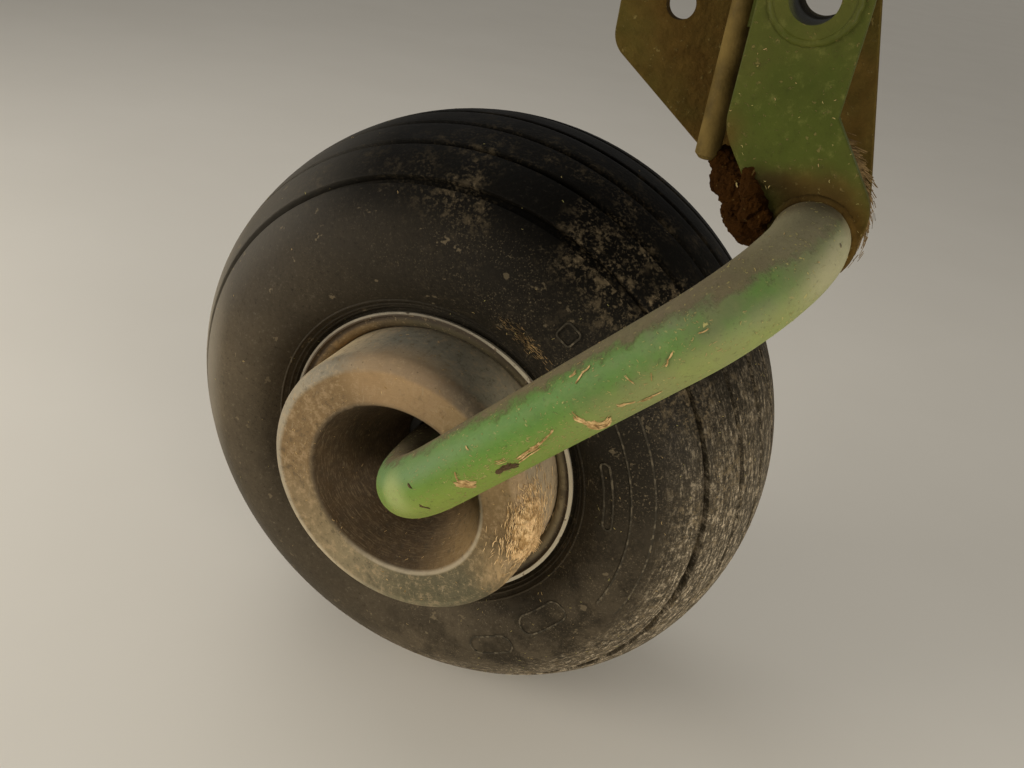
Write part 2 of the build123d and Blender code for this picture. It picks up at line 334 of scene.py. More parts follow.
# %% Floor finish
floor_finish = Finish("floor_finish", Roughness=0.9)
sand = floor_finish.mix(floor_finish.clouds(3), (0.74, 0.7, 0.62), (0.8, 0.76, 0.68))
floor_finish.feed("Base Color", sand)
floor.data.materials.append(floor_finish.material)

# %% [markdown]
# ## Tyre rubber
# Worn rubber is nearly black and a little glossy. On this tyre a thin film of dust turns the sidewall brown
# and grey. The film is laid heavier on the lower left and lower right, partly dust and partly painted light
# that the bright ground throws up there, and the top of the tread is painted near black as the shade of the
# machine above. The left shoulder and ribs are painted paler as light from the left, partly dust. Finer
# speckles of dried mud cover the ribs of the tread, and the grooves are painted dark as shade. The film and
# the speckles are clouds of two sizes; the speckles are cut hard, so they look like splashes.

# %% Rubber finish
groove_pitch = 0.0283
groove_half = 0.00225
groove_round = 0.0009
tread_depth = 0.006
ring_round = 0.0009

rubber = Finish("worn_rubber", Specular_IOR_Level=0.05)
from_axle = rubber.from_axle()
tread = rubber.step(from_axle, 0.17, 0.2)
away_x = rubber.axis(0) - wheel_centre.x
away_z = rubber.axis(2) - wheel_centre.z
# The film is laid heavier on the lower left and lower right: partly dust, partly painted light that the
# bright ground throws up there.
low_left = rubber.step(away_x * 0.8 + away_z * 0.6, 0.13, -0.17)
low_right = rubber.step(away_x * 0.75 - away_z * 0.65, 0.02, 0.2)
# The top of the tread is painted near black as the shade of the machine above, and the dust is kept off it.
high = rubber.step(away_z * 0.9 + away_x * 0.2, 0.08, 0.19) * tread
film = rubber.patches(9, 0.3, 0.75)
film_and_light = (0.04 + low_left * (0.3 + 0.3 * film) + low_right * (0.2 + 0.25 * film)) * (1 - high)
rubber.base = rubber.mix(film_and_light.capped(), (0.0085, 0.0075, 0.0055), (0.13, 0.1, 0.062))
rubber.coat(high * 0.8, (0.002, 0.0016, 0.0009))
mottle = rubber.clouds(300, 9, 0.8)
rubber.coat(rubber.step(mottle, 0.48, 0.3) * 0.6, (0.004, 0.0035, 0.0025))
dark_blots = rubber.patches(34, 0.44, 0.6, detail=7.0) * (0.1 + low_right)
rubber.coat((dark_blots * 0.7).capped(), (0.011, 0.009, 0.006))
# The pale mottle is stronger on the lower left: partly dust, partly painted light.
mottle_light = 0.1 + 0.3 * low_left + 0.12 * low_right
rubber.coat(rubber.step(mottle, 0.54, 0.74) * mottle_light, (0.26, 0.215, 0.15))
# The left shoulder by the sidewall is painted pale: partly dust, partly painted light from the left.
front_edge = rubber.step(rubber.axis(1), wheel_centre.y - 0.03, wheel_centre.y - 0.075)
shoulder = rubber.step(away_x, -0.165, -0.215) * (0.12 + 0.88 * front_edge)
rubber.coat(shoulder * (0.45 + 0.4 * film), (0.42, 0.36, 0.26))
# The ribs on the left are painted a paler grey as a sheen of light from the left.
left_rib_sheen = tread * rubber.step(away_x, -0.06, -0.16)
rubber.coat(left_rib_sheen * 0.55, (0.1, 0.092, 0.078))

blots = rubber.patches(17, 0.4, 0.62, detail=3.0)
grains = rubber.patches(430, 0.5, 0.66, detail=6.0)
crumbs = rubber.patches(120, 0.52, 0.66, detail=9.0)
right_side = rubber.step(away_x, -0.06, 0.05)
front_ribs = rubber.step(rubber.axis(1), wheel_centre.y - 0.03, wheel_centre.y - 0.055)
muddy = (0.12 + 0.88 * right_side) * (0.3 + 0.7 * front_ribs.most(low_right))
splash = (blots * (0.15 + 0.85 * tread) * muddy * (grains * 0.6 + crumbs * 0.6)).capped()
streaks = rubber.step(rubber.clouds(20, 8, 0.8, where=rubber.brushed(18)), 0.46, 0.6)
dried = rubber.patches(260, 0.46, 0.6, detail=8.0)
# The lower right ribs are paler with dust and streaks, and partly with painted light from the ground.
rib_low = tread * low_right
rubber.coat(rib_low * 0.35, (0.055, 0.044, 0.028))
rubber.coat((rib_low * (0.1 + 0.9 * streaks) * (0.2 + 0.8 * dried)).capped(), (0.5, 0.41, 0.28))
bits = rubber.patches(700, 0.5, 0.62, detail=5.0)
rubber.coat((rib_low * streaks * bits).capped() * 0.8, (0.62, 0.5, 0.34))
rubber.coat(splash * 0.85, (0.2, 0.15, 0.085))
strands = rubber.patches(95, 0.66, 0.7, detail=3.0, where=rubber.stretched(1, 2.2, 1))
rubber.coat(strands * 0.35 * (1 - high), (0.22, 0.17, 0.1))
fine_dust = rubber.patches(800, 0.58, 0.68, detail=3.0) * rubber.patches(28, 0.35, 0.65, detail=5.0)
rubber.coat(fine_dust * (0.12 + 0.4 * right_side) * (1 - high), (0.22, 0.17, 0.1))

# The grooves are painted near black as shade.
across = rubber.axis(1) - (wheel_centre.y + groove_pitch / 2)
reach = rubber.maths("ABSOLUTE", rubber.maths("WRAP", across, groove_pitch / 2, -groove_pitch / 2))
groove_shade = rubber.step(reach, groove_pitch / 2 - groove_half, groove_pitch / 2 - groove_half * 0.7) * tread
rubber.coat(groove_shade * 0.85, (0.006, 0.005, 0.003))
skin = rubber.clouds(420, 3) * 0.5 + (splash + dried * rib_low) * 0.6 + rubber.clouds(60, 2) * 0.3
rubber.dress(rubber.base, skin, 0.0006, "tyre", "valve", rough=0.55 + 0.2 * film + 0.25 * splash)
print("rubber finish ready")

# %% [markdown]
# ## Guard and wheel steel
# The wrap guard and the wheel's centre carry dry plant juice and dust on grey-brown steel. Round the axle
# the drum and the bend at the ring's crest turn grey, brown and pale: partly dust, partly painted light and
# shade, pale where light falls and slate where shade falls. The drum is brown by the rim. The flat ring has
# rubbed to a tan, and the funnel is painted dark as shade, paler on its right where painted light falls, and
# freckled. Rings round the axle are steps on the distance from it.

# %% Guard finish
guard_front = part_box("wrap_guard")[0][1]
guard_crest = 0.0989
guard_mouth = 0.065

guard = Finish("guard_steel", Specular_IOR_Level=0.3)
from_axle = guard.from_axle()
depth_in = guard.axis(1) - guard_front
away_x = guard.axis(0) - wheel_centre.x
away_z = guard.axis(2) - wheel_centre.z

rusty = (0.16, 0.1, 0.04)
grey_green = (0.08, 0.07, 0.035)
lit_dusty_grey = (0.26, 0.22, 0.15)
ring_hues = (
    (-180, rusty),
    (-115, (0.19, 0.15, 0.08)),
    (-75, grey_green),
    (-40, grey_green),
    (5, rusty),
    (30, (0.3, 0.2, 0.09)),
    (80, (0.3, 0.2, 0.09)),
    (105, rusty),
)
# The bend's and the drum's colours round the axle are partly dust and partly painted light and shade: pale
# where light falls, slate at the top in shade.
bend_dust_and_light = (
    (-180, lit_dusty_grey),
    (-120, (0.4, 0.33, 0.21)),
    (-85, (0.15, 0.13, 0.07)),
    (-30, grey_green),
    (10, (0.36, 0.24, 0.12)),
    (90, (0.06, 0.065, 0.058)),
    (145, lit_dusty_grey),
)
drum_dust_and_light = (
    (-180, rusty),
    (-60, grey_green),
    (-15, (0.45, 0.32, 0.18)),
    (55, (0.24, 0.21, 0.14)),
    (105, (0.18, 0.17, 0.13)),
    (140, (0.6, 0.45, 0.25)),
)
side = guard.step(from_axle, guard_crest - 0.004, guard_crest - 0.0005)
bent = guard.step(from_axle + 0.004 * guard.clouds(30), guard_crest - 0.009, guard_crest - 0.005)
behind_bend = guard.step(depth_in + 0.01 * guard.clouds(30), 0.011, 0.019)
by_rim = guard.step(depth_in + 0.012 * guard.clouds(24), 0.048, 0.062)
axial = guard.clouds(14, 6, 0.8, where=guard.stretched(9, 0.8, 9))
ring = guard.mix(bent, guard.round_axle(ring_hues), guard.round_axle(bend_dust_and_light))
drum = guard.round_axle(drum_dust_and_light)
drum = guard.mix(guard.step(axial, 0.5, 0.75) * 0.45, drum, (0.3, 0.25, 0.17))
drum = guard.mix(guard.step(axial, 0.45, 0.25) * 0.5, drum, (0.045, 0.037, 0.024))
drum = guard.mix(by_rim * 0.5, drum, (0.12, 0.085, 0.042))

dusty = guard.patches(14, 0.32, 0.68)
grain = guard.clouds(170, 8, 0.75)
in_mouth = guard.step(from_axle, guard_mouth + 0.004, guard_mouth - 0.001)
# The funnel's inside is painted dark as shade, and paler on its right where painted light falls.
dark = guard.mix(guard.clouds(60, 7, 0.7), (0.018, 0.01, 0.0035), (0.08, 0.046, 0.017))
lit_mouth_right = guard.step(away_x, 0.01, 0.06) * guard.step(away_z, 0.02, -0.02)
dark = guard.mix(lit_mouth_right * 0.75, dark, (0.22, 0.135, 0.05))
face = guard.mix(in_mouth, ring, dark)
guard.base = guard.mix(side * behind_bend, face, drum)
brushing = guard.clouds(6, 5, 0.75, where=guard.brushed(420))
on_face = 1 - side * behind_bend
guard.coat(guard.step(brushing, 0.5, 0.72) * on_face * 0.45, (0.27, 0.19, 0.1))
guard.coat(guard.step(brushing, 0.46, 0.28) * on_face * 0.45, (0.05, 0.034, 0.016))
guard.coat(guard.step(grain, 0.51, 0.62) * (0.3 - 0.25 * in_mouth), (0.44, 0.31, 0.17))
guard.coat(guard.step(grain, 0.48, 0.34) * 0.5, (0.035, 0.025, 0.012))
tan_place = wheel_centre + Vector((-0.005, -0.142, 0.084))
tan_lumps = guard.step(guard.distance(tan_place, (0.7, 1, 1)) + 0.03 * grain, 0.052, 0.03)
guard.coat(tan_lumps * 0.55, (0.36, 0.23, 0.11))

hay_place = wheel_centre + Vector((0.092, -0.12, -0.034))
hay_near = guard.step(guard.distance(hay_place, (1, 0.8, 1)) + 0.022 * guard.clouds(60, 5), 0.048, 0.018)
fibres = guard.patches(160, 0.38, 0.58, detail=6.0, where=guard.stretched(2.2, 2.2, 0.6))
guard.coat((hay_near * (0.35 + 0.5 * fibres)).capped(), (0.45, 0.3, 0.14))
grey_place = wheel_centre + Vector((0.099, -0.096, -0.022))
grey_patch = guard.step(guard.distance(grey_place) + 0.006 * grain, 0.013, 0.009)
guard.coat(grey_patch * 0.8, (0.21, 0.17, 0.12))
freckles = guard.patches(300, 0.6, 0.68, detail=4.0)
guard.coat(freckles * (0.4 - 0.3 * in_mouth), (0.33, 0.235, 0.125))
scuffs = guard.patches(150, 0.6, 0.68, detail=5.0, where=guard.stretched(2.5, 2.5, 0.5))
guard.coat(scuffs * (0.35 - 0.2 * in_mouth), (0.36, 0.28, 0.17))
pits = guard.spots(150, 0.05, 0.12)
guard.coat(pits * 0.5, (0.04, 0.026, 0.012))
edge = guard.step(from_axle, guard_mouth - 0.0015, guard_mouth + 0.0005)
edge = edge * guard.step(from_axle, guard_mouth + 0.003, guard_mouth + 0.0012)
edge_low = guard.step(away_x - away_z, 0.0, 0.08)
guard.coat(edge * (0.1 + 0.6 * edge_low) * (0.5 + grain), (0.36, 0.3, 0.2))
# A pale line on the crest's lower left edge: a rubbed edge with a painted highlight.
worn_edge_highlight = guard.step(from_axle, guard_crest - 0.0014, guard_crest - 0.0006)
worn_edge_highlight = worn_edge_highlight * guard.step(depth_in, 0.014, 0.01) * guard.step(away_x + away_z, -0.04, -0.08)
guard.coat(worn_edge_highlight * (0.4 + 0.5 * grain), (0.62, 0.54, 0.42))
skin = grain * 0.9 + brushing * 0.4 + fibres * hay_near * 1.5 + guard.clouds(30, 3) * 0.8
guard.dress(guard.base, skin, 0.0008, "wrap_guard", rough=0.6 + 0.3 * dusty)

# %% [markdown]
# ## Rim
# The rim's lips are rubbed bright by the grass that winds round them, while the faces behind them are
# brown with dust, painted golden where light falls and dark where shade falls, with a band of painted shade
# just inside the lip. The bright band is the part furthest from the axle on the lip's outer edge, painted
# paler and wider on the right as a highlight.

# %% Rim, disc and hub finishes
lip_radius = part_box("rim")[1][0] - wheel_centre.x

rim = Finish("rim_steel")
from_axle = rim.from_axle()
rim_x = rim.axis(0) - wheel_centre.x
# The lip is painted paler and wider on the right as a highlight.
lip_highlight_right = rim.step(rim_x, 0.0, 0.08)
lip = rim.step(from_axle + 0.0012 * lip_highlight_right, lip_radius - 0.0018, lip_radius - 0.0012)
chips = rim.patches(120, 0.6, 0.66, detail=5.0)
# The faces behind the lip change colour round the axle: partly dust, partly painted light and shade.
rim_dust_and_light = (
    (-180, (0.14, 0.1, 0.045)),
    (-60, (0.1, 0.075, 0.04)),
    (0, (0.2, 0.155, 0.08)),
    (65, (0.06, 0.045, 0.017)),
    (100, (0.06, 0.045, 0.017)),
    (140, (0.2, 0.12, 0.04)),
)
crust = rim.step(rim.clouds(60, 8, 0.75), 0.56, 0.36)
dirt = rim.mix(crust * 0.6, rim.round_axle(rim_dust_and_light), (0.03, 0.019, 0.007))
# A dark band just inside the lip is painted shade.
lip_shade = rim.step(from_axle, lip_radius - 0.0075, lip_radius - 0.0045)
dirt = rim.mix(lip_shade * 0.8, dirt, (0.035, 0.02, 0.007))
dirt = rim.mix(rim.patches(330, 0.58, 0.66, detail=5.0) * 0.4, dirt, (0.33, 0.24, 0.12))
bright = rim.mix(rim.clouds(90, 6, 0.7), (0.1, 0.083, 0.056), (0.36, 0.315, 0.235))
bright = rim.mix(lip_highlight_right * 0.7, bright, (0.6, 0.53, 0.38))
bright = rim.mix(rim.spots(70, 0.08, 0.14), bright, (0.05, 0.035, 0.02))
bright = rim.mix(chips, bright, (0.14, 0.09, 0.05))
metal = lip * (1 - chips)
rim.feed("Metallic", 0.25 * metal)
skin = rim.clouds(300, 4) * 0.6 + chips * 0.5
rim.dress(rim.mix(lip, dirt, bright), skin, 0.0004, "rim", rough=0.75 - 0.35 * metal)

centre = Finish("wheel_centre_steel")
grime = centre.patches(24, 0.35, 0.65)
painted = centre.mix(centre.clouds(30, 5), (0.12, 0.1, 0.07), (0.22, 0.19, 0.14))
centre.base = centre.mix(grime, painted, (0.15, 0.105, 0.06))
rust = centre.patches(75, 0.6, 0.68, detail=7.0)
centre.coat(rust * 0.8, (0.16, 0.06, 0.025))
# Near the funnel's neck the hub is painted near black as shade.
neck_place = wheel_centre + Vector((0, -0.08, 0))
neck_shade = centre.step(centre.distance(neck_place), 0.05, 0.03)
centre.coat(neck_shade * 0.95, (0.012, 0.008, 0.005))
skin = centre.clouds(260, 4) + rust * 0.5
centre.dress(centre.base, skin, 0.0005, "wheel_disc", "hub", "hub_cap", rough=0.5 + 0.35 * grime)

fastener = Finish("fastener_steel")
rusted = fastener.patches(140, 0.42, 0.62, detail=6.0)
zinc = fastener.mix(fastener.clouds(80), (0.33, 0.32, 0.3), (0.48, 0.47, 0.44))
fastener.feed("Metallic", 0.8 - 0.7 * rusted)
zinc = fastener.mix(rusted, zinc, (0.17, 0.07, 0.03))
fastener.dress(zinc, fastener.clouds(500, 4), 0.0002, "wheel_nuts", rough=0.35 + 0.4 * rusted)

bare = Finish("bare_steel", Specular_IOR_Level=0.06)
dusted = bare.patches(45, 0.35, 0.65)
scaled = bare.mix(bare.clouds(120, 6, 0.7), (0.045, 0.03, 0.007), (0.11, 0.073, 0.02))
steel_skin = bare.mix(dusted, scaled, (0.14, 0.095, 0.028))
# Near the funnel's neck the spindle is painted near black as shade.
neck_shade = bare.step(bare.distance(neck_place), 0.06, 0.035)
steel_skin = bare.mix(neck_shade * 0.95, steel_skin, (0.012, 0.008, 0.005))
bare.dress(steel_skin, bare.clouds(350, 5), 0.0005, "spindle", "rod", rough=0.55 + 0.3 * dusted)

# %% [markdown]
# ## Green paint
# The leg's paint is a fresh green where straw rubs it, and tan with dust where dust settles: on top,
# and near the bracket. Dust is a soft step on how far the surface faces up, with clouds that break its edge.
# Small brown splashes and pale flecks of chaff lie over both. Light and shade are painted on as well: a paler
# yellow green on the underside and the low end for the light that the ground throws up, a bluish sheen of
# the sky, a highlight at the tip, paler dust with painted sunlight on the right of the end by the bracket,
# and a dark band where the leg meets the plate, partly grime and partly painted shade.

# %% Leg finish
leg_low = wheel_centre + Vector((0, -0.169, 0))
leg_high = Vector((0.032, -0.1, -0.116))

leg = Finish("leg_green_paint", Specular_IOR_Level=0.2)
hue = leg.clouds(9, 3)
leg.base = leg.mix(hue, (0.054, 0.145, 0.018), (0.092, 0.2, 0.031))
blotch = leg.clouds(160, 8, 0.75)
leg.coat(leg.step(blotch, 0.5, 0.75) * 0.5, (0.17, 0.23, 0.06))
leg.coat(leg.step(blotch, 0.48, 0.28) * 0.5, (0.045, 0.095, 0.016))
# The low end and the underside are painted a paler yellow green as light that the ground throws up.
low_end = leg.step(leg.distance(leg_low), 0.17, 0.03)
ground_lit_underside = leg.step(leg.facing((0.45, -0.35, -0.82)), 0.1, 0.9)
leg.coat((ground_lit_underside * 0.65 + low_end * 0.4).capped(), (0.19, 0.24, 0.04))
# A bluish sheen of the sky is painted on the upper side near the low end.
sky_sheen = leg.step(leg.facing((-0.5, -0.35, 0.79)), 0.45, 0.85)
leg.coat(sky_sheen * low_end * 0.6, (0.105, 0.185, 0.085))
# A painted highlight at the leg's tip.
tip_highlight = leg.step(leg.distance(leg_low + Vector((0.019, -0.013, 0.031))), 0.021, 0.003)
leg.coat(tip_highlight * 0.6, (0.33, 0.36, 0.13))

skyward = leg.facing((-0.35, 0.1, 0.93))
mottle = leg.clouds(110, 9, 0.72)
near_top = leg.step(leg.distance(leg_high), 0.19, 0.06)
dust_edge = skyward + 0.9 * (mottle - 0.5) + 0.3 * leg.clouds(14, 3) + 0.2 * near_top
dust = leg.step(dust_edge, 0.78, 1.04)
cover = leg.patches(26, 0.36, 0.62, detail=7.0)
faded = near_top * (0.3 + 0.65 * cover)
leg.coat((faded * 0.75).capped(), (0.115, 0.108, 0.06))
dust_hue = leg.mix(near_top, (0.19, 0.128, 0.08), (0.14, 0.112, 0.07))
dust_hue = leg.mix(blotch, dust_hue, (0.09, 0.065, 0.035))
leg.coat(dust * 0.9, dust_hue)
collar_dust = leg.step(leg.distance(leg_high + Vector((0.008, 0.05, 0.002))), 0.062, 0.03)
leg.coat(collar_dust * 0.45, (0.22, 0.2, 0.115))
# A dark brown band where the leg meets the plate: partly grime, partly painted shade.
plate_shade_and_grime = leg.step(leg.axis(1) + 0.01 * leg.clouds(60, 5), -0.052, -0.03)
leg.coat(plate_shade_and_grime * 0.75, (0.075, 0.055, 0.026))
# The lower right side near the top is painted paler as light thrown up by the ground.
ground_lit_side = leg.step(leg.facing((0.72, -0.25, -0.64)), 0.1, 0.75) * near_top
leg.coat(ground_lit_side * 0.5, (0.25, 0.26, 0.09))
# The end by the bracket is paler on its right side: partly dust, partly painted sunlight.
sunlit_end_dust = leg.step(leg.facing((0.93, -0.08, 0.3)), 0.72, 0.98) * collar_dust
leg.coat(sunlit_end_dust * 0.7, (0.34, 0.31, 0.19))
film = leg.patches(150, 0.45, 0.75, detail=8.0)
leg.coat(film * 0.15, (0.2, 0.19, 0.07))
grit = leg.patches(420, 0.6, 0.68, detail=5.0)
leg.coat(grit * 0.4, (0.05, 0.045, 0.018))
splashes = leg.spots(42, 0.05, 0.08) * leg.patches(30, 0.5, 0.6)
leg.coat(splashes * 0.8, (0.055, 0.03, 0.012))
flecks = leg.patches(460, 0.62, 0.66, detail=3.0) * leg.patches(40, 0.4, 0.6)
leg.coat(flecks * 0.75, (0.42, 0.36, 0.13))
scratches = leg.patches(90, 0.69, 0.71, detail=4.0, where=leg.stretched(1.0, 1.0, 3.0))
leg.coat(scratches * 0.5, (0.3, 0.24, 0.09))
skin = blotch * 0.5 + dust * mottle * 1.4 + splashes * 0.8 + flecks * 0.7
leg.dress(leg.base, skin, 0.0007, "crank_leg", rough=0.55 + 0.35 * dust)

# %% [markdown]
# The bracket's paint is the same green, but darker and olive: it stands under the machine, and the darker
# colour is partly juice and partly painted shade. Mud has built up where the leg goes through the plates.
# That mud is a step on the distance from the leg's end. The plate's left part and a halo round the leg's end
# are painted darker as shade, partly with dust and mud.

# %% Bracket finish
eye = Vector((0.032, -0.028, -0.116))

bracket = Finish("bracket_green_paint", Specular_IOR_Level=0.1)
# The olive is darker than the leg's green: partly juice, partly painted shade under the machine.
bracket.base = bracket.mix(bracket.clouds(24, 5, 0.6), (0.022, 0.031, 0.003), (0.066, 0.08, 0.011))
blotch = bracket.clouds(150, 8, 0.75)
bracket.coat(bracket.step(blotch, 0.52, 0.7) * 0.5, (0.13, 0.13, 0.033))
bracket.coat(bracket.step(blotch, 0.46, 0.26) * 0.5, (0.018, 0.02, 0.003))
stain = bracket.patches(16, 0.35, 0.7)
bracket.coat(stain * 0.45, (0.07, 0.058, 0.014))
round_eye = bracket.distance(eye, (1, 0.6, 1))
mud_and_shade = bracket.step(round_eye + 0.03 * bracket.clouds(30, 5), 0.062, 0.036)
# The plate's left part is painted dark in the mud's colour as shade.
left_edge_shade = bracket.step(bracket.axis(0) + 0.02 * bracket.clouds(40, 5), -0.002, -0.018)
left_edge_shade = left_edge_shade * bracket.step(bracket.axis(2), -0.05, -0.08)
mud_and_shade = mud_and_shade.most(left_edge_shade * 0.8)
behind = bracket.step(bracket.axis(1), 0.0, 0.012)
mud_and_shade = mud_and_shade.most((behind * (0.7 + 0.3 * stain)).capped())
bracket.coat(mud_and_shade, bracket.mix(bracket.clouds(110, 6), (0.026, 0.012, 0.0008), (0.1, 0.058, 0.012)))
smear = bracket.distance((0.004, -0.028, -0.106), (1, 0.5, 1)) + 0.014 * bracket.clouds(60, 6)
smear = bracket.step(smear, 0.036, 0.02)
bracket.coat(smear * 0.85, (0.02, 0.0105, 0.0015))
# A dark halo round the leg's end: partly dust, partly painted shade.
dust_and_shade_halo = bracket.distance(eye + Vector((-0.002, 0, 0.02)), (0.75, 0.5, 1)) + 0.01 * bracket.clouds(40, 5)
dust_and_shade_halo = bracket.step(dust_and_shade_halo, 0.024, 0.01)
bracket.coat(dust_and_shade_halo * 0.7, (0.034, 0.02, 0.004))
specks = bracket.patches(330, 0.62, 0.68, detail=4.0)
bracket.coat(specks * 0.4, (0.2, 0.15, 0.05))
edge_lit = bracket.step(bracket.distance(eye + Vector((0.012, 0, 0)), (1, 0, 1)), 0.03, 0.045)
edge_lit = edge_lit * bracket.step(bracket.axis(2), -0.09, -0.11)
bracket.coat(edge_lit * 0.5, (0.12, 0.14, 0.03))
skin = bracket.clouds(260, 5) * (0.3 + mud_and_shade) + specks * 0.3
bracket.dress(bracket.base, skin, 0.001, rough=0.55 + 0.4 * mud_and_shade)
bracket.paint("cheek_front", "cheek_rear", "cheek_web", "pivot_bush")
print("finishes:", [material.name for material in bpy.data.materials])

# %% [markdown]
# ## The tyre's shape
# The frame's tyre has its true outline, with square grooves. The real one is moulded: groove edges are
# rounded, fine rings run round it beside the rim, and the shoulder flows into the sidewall. A tyre is a
# section turned round an axle, so it is made that way: one vertex is extruded along the section, and spin
# turns the line round the axle. The section is three arcs that meet without a kink, as the frame's is.

# %% Arcs of the section
crown_radius = 0.1625
crown_half = 0.0572
tread_radius = 0.2285
shoulder_join = Vector((0.16505, 0.1055))
wall_foot = Vector((0.1135, 0.0889))
arc_points = (260, 330, 260)


def arc_between(start, heading, end, count):
    """Points of the arc that leaves start along heading and arrives at end, and its heading there."""
    chord = end - start
    half_turn = heading.angle_signed(chord)
    points = []
    for index in range(1, count + 1):
        part = index / count
        reach = chord.length * math.sin(half_turn * part) / math.sin(half_turn)
        way = heading.normalized()
        way.rotate(Matrix.Rotation(-half_turn * part, 2))
        points.append(start + way * reach)
    leaving = heading.normalized()
    leaving.rotate(Matrix.Rotation(-2 * half_turn, 2))
    return points, leaving


def tyre_side():
    """Half of the tyre's section from the tread's middle to the rim: (radius, y) points."""
    drop = crown_radius - math.sqrt(crown_radius**2 - crown_half**2)
    start, edge = Vector((tread_radius, 0)), Vector((tread_radius - drop, crown_half))
    crown, heading = arc_between(start, Vector((0, 1)), edge, arc_points[0])
    shoulder, heading = arc_between(crown[-1], heading, shoulder_join, arc_points[1])
    wall, heading = arc_between(shoulder_join, heading, wall_foot, arc_points[2])
    return [start] + crown + shoulder + wall


side_line = tyre_side()
print("section points on one side:", len(side_line), "widest", round(max(point.y for point in side_line), 4))

# %% [markdown]
# The grooves and rings are small moves of those points, square to the section. A groove's depth rises over
# a millimetre at each side, which rounds its edges. Afterwards the points that lie on a straight line are
# dropped: the flat parts need few, the groove edges many.

# %% Grooves, rings and a lean set of points
ring_places = (0.0035, 0.0068, 0.0115)
lean_limit = 0.00006
heel = [Vector((0.1058, 0.0888)), Vector((0.1017, 0.0847))]


def relief(point, along):
    """How far the moulding moves a point outwards: along is the way from the rim's foot."""
    off_groove = abs(point.y - round(point.y / groove_pitch) * groove_pitch)
    groove = 0.0
    if abs(point.y) < 3.5 * groove_pitch and point.x > 0.18:
        if off_groove < groove_half:
            groove = tread_depth
        elif off_groove < groove_half + groove_round:
            rest = 1 - (off_groove - groove_half) / groove_round
            groove = groove_round * (1 - math.sqrt(1 - rest**2))
    rings = sum(math.sqrt(max(0, ring_round**2 - (along - place) ** 2)) for place in ring_places)
    return rings - groove


def lean(points, tolerance):
    """Keeps only the points that a line needs to stay within the tolerance."""
    first, last = points[0], points[-1]
    chord = (last - first).normalized()
    far, place = max((abs(chord.cross(point - first)), index) for index, point in enumerate(points))
    if far < tolerance:
        return [first, last]
    return lean(points[: place + 1], tolerance)[:-1] + lean(points[place:], tolerance)


def moulded_side():
    """The half section with its relief."""
    from_foot = [0.0]
    for one, other in zip(side_line[::-1], side_line[-2::-1]):
        from_foot.append(from_foot[-1] + (other - one).length)
    moved = []
    for index, point in enumerate(side_line):
        before = side_line[max(index - 1, 0)]
        after = side_line[min(index + 1, len(side_line) - 1)]
        run = (after - before).normalized()
        outward = Vector((run.y, -run.x))
        moved.append(point + outward * relief(point, from_foot[len(side_line) - 1 - index]))
    return lean(moved, lean_limit)


half_section = moulded_side()
right_half = half_section + heel
left_half = [Vector((point.x, -point.y)) for point in right_half[:0:-1]]
tyre_section = left_half + right_half
print("points in the whole section:", len(tyre_section))

# %% [markdown]
# The spin needs one start vertex. A small plane is added at the section's first point and merged to its
# centre, which leaves a vertex; every further point is one extrude. After the spin the doubles on the seam
# are merged, the two open edges are bridged and the normals are recalculated outwards.

# %% Spin a section round the axle


def start_edit(name):
    """Names the new primitive and opens it for editing."""
    piece = bpy.context.object
    piece.name = name
    piece.data.name = name
    bpy.ops.object.mode_set(mode="EDIT")
    return piece


def close_edit(piece, smooth_angle=None):
    """Leaves edit mode with the piece's origin at the world's."""
    bpy.ops.object.mode_set(mode="OBJECT")
    bpy.ops.object.transform_apply(location=True, rotation=True, scale=True)
    if smooth_angle is not None:
        bpy.ops.object.shade_smooth_by_angle(angle=math.radians(smooth_angle))
    return piece


def spin_section(name, section, steps):
    """A ring: a line of (radius, y) points, drawn by extruding one vertex, spun round the axle."""
    points = [wheel_centre + Vector((point.x, point.y, 0)) for point in section]
    bpy.ops.object.select_all(action="DESELECT")
    bpy.ops.mesh.primitive_plane_add(size=0.001, location=points[0])
    piece = start_edit(name)
    bpy.ops.mesh.merge(type="CENTER")
    for one, other in zip(points, points[1:]):
        bpy.ops.mesh.extrude_vertices_move(TRANSFORM_OT_translate={"value": other - one})
    bpy.ops.mesh.select_all(action="SELECT")
    bpy.ops.mesh.spin(steps=steps, angle=2 * math.pi, center=wheel_centre, axis=(0, 1, 0))
    bpy.ops.mesh.select_all(action="SELECT")
    bpy.ops.mesh.remove_doubles(threshold=0.00001)
    bpy.ops.mesh.select_all(action="DESELECT")
    bpy.ops.mesh.select_mode(type="EDGE")
    bpy.ops.mesh.select_non_manifold()
    bpy.ops.mesh.bridge_edge_loops()
    bpy.ops.mesh.select_mode(type="VERT")
    bpy.ops.mesh.select_all(action="SELECT")
    bpy.ops.mesh.normals_make_consistent(inside=False)
    return close_edit(piece, 40)


tyre_steps = 168
tyre = spin_section("moulded_tyre", tyre_section, tyre_steps)
rubber.paint(tyre)
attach(tyre, "wheel")
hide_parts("tyre")
print("tyre faces:", len(tyre.data.polygons))

# %% [markdown]
# ## Finding a place by its pixel
# Mud and straw lie where the photograph shows them. A ray from the camera through the pixel meets the
# surface that carries the piece, so it sits on that surface, seen from any side. The picture is 1024 pixels
# wide, and the lens gives the distance to it in pixels.

# %% Rays through the picture
picture = (1024, 768)
pixel_distance = camera_lens / sensor_width * picture[0]


def surface_of(*pieces):
    """A search tree over the faces of some pieces."""
    vertices = []
    faces = []
    for piece in pieces:
        start = len(vertices)
        vertices += [vertex.co.copy() for vertex in piece.data.vertices]
        faces += [[start + index for index in face.vertices] for face in piece.data.polygons]
    return BVHTree.FromPolygons(vertices, faces)


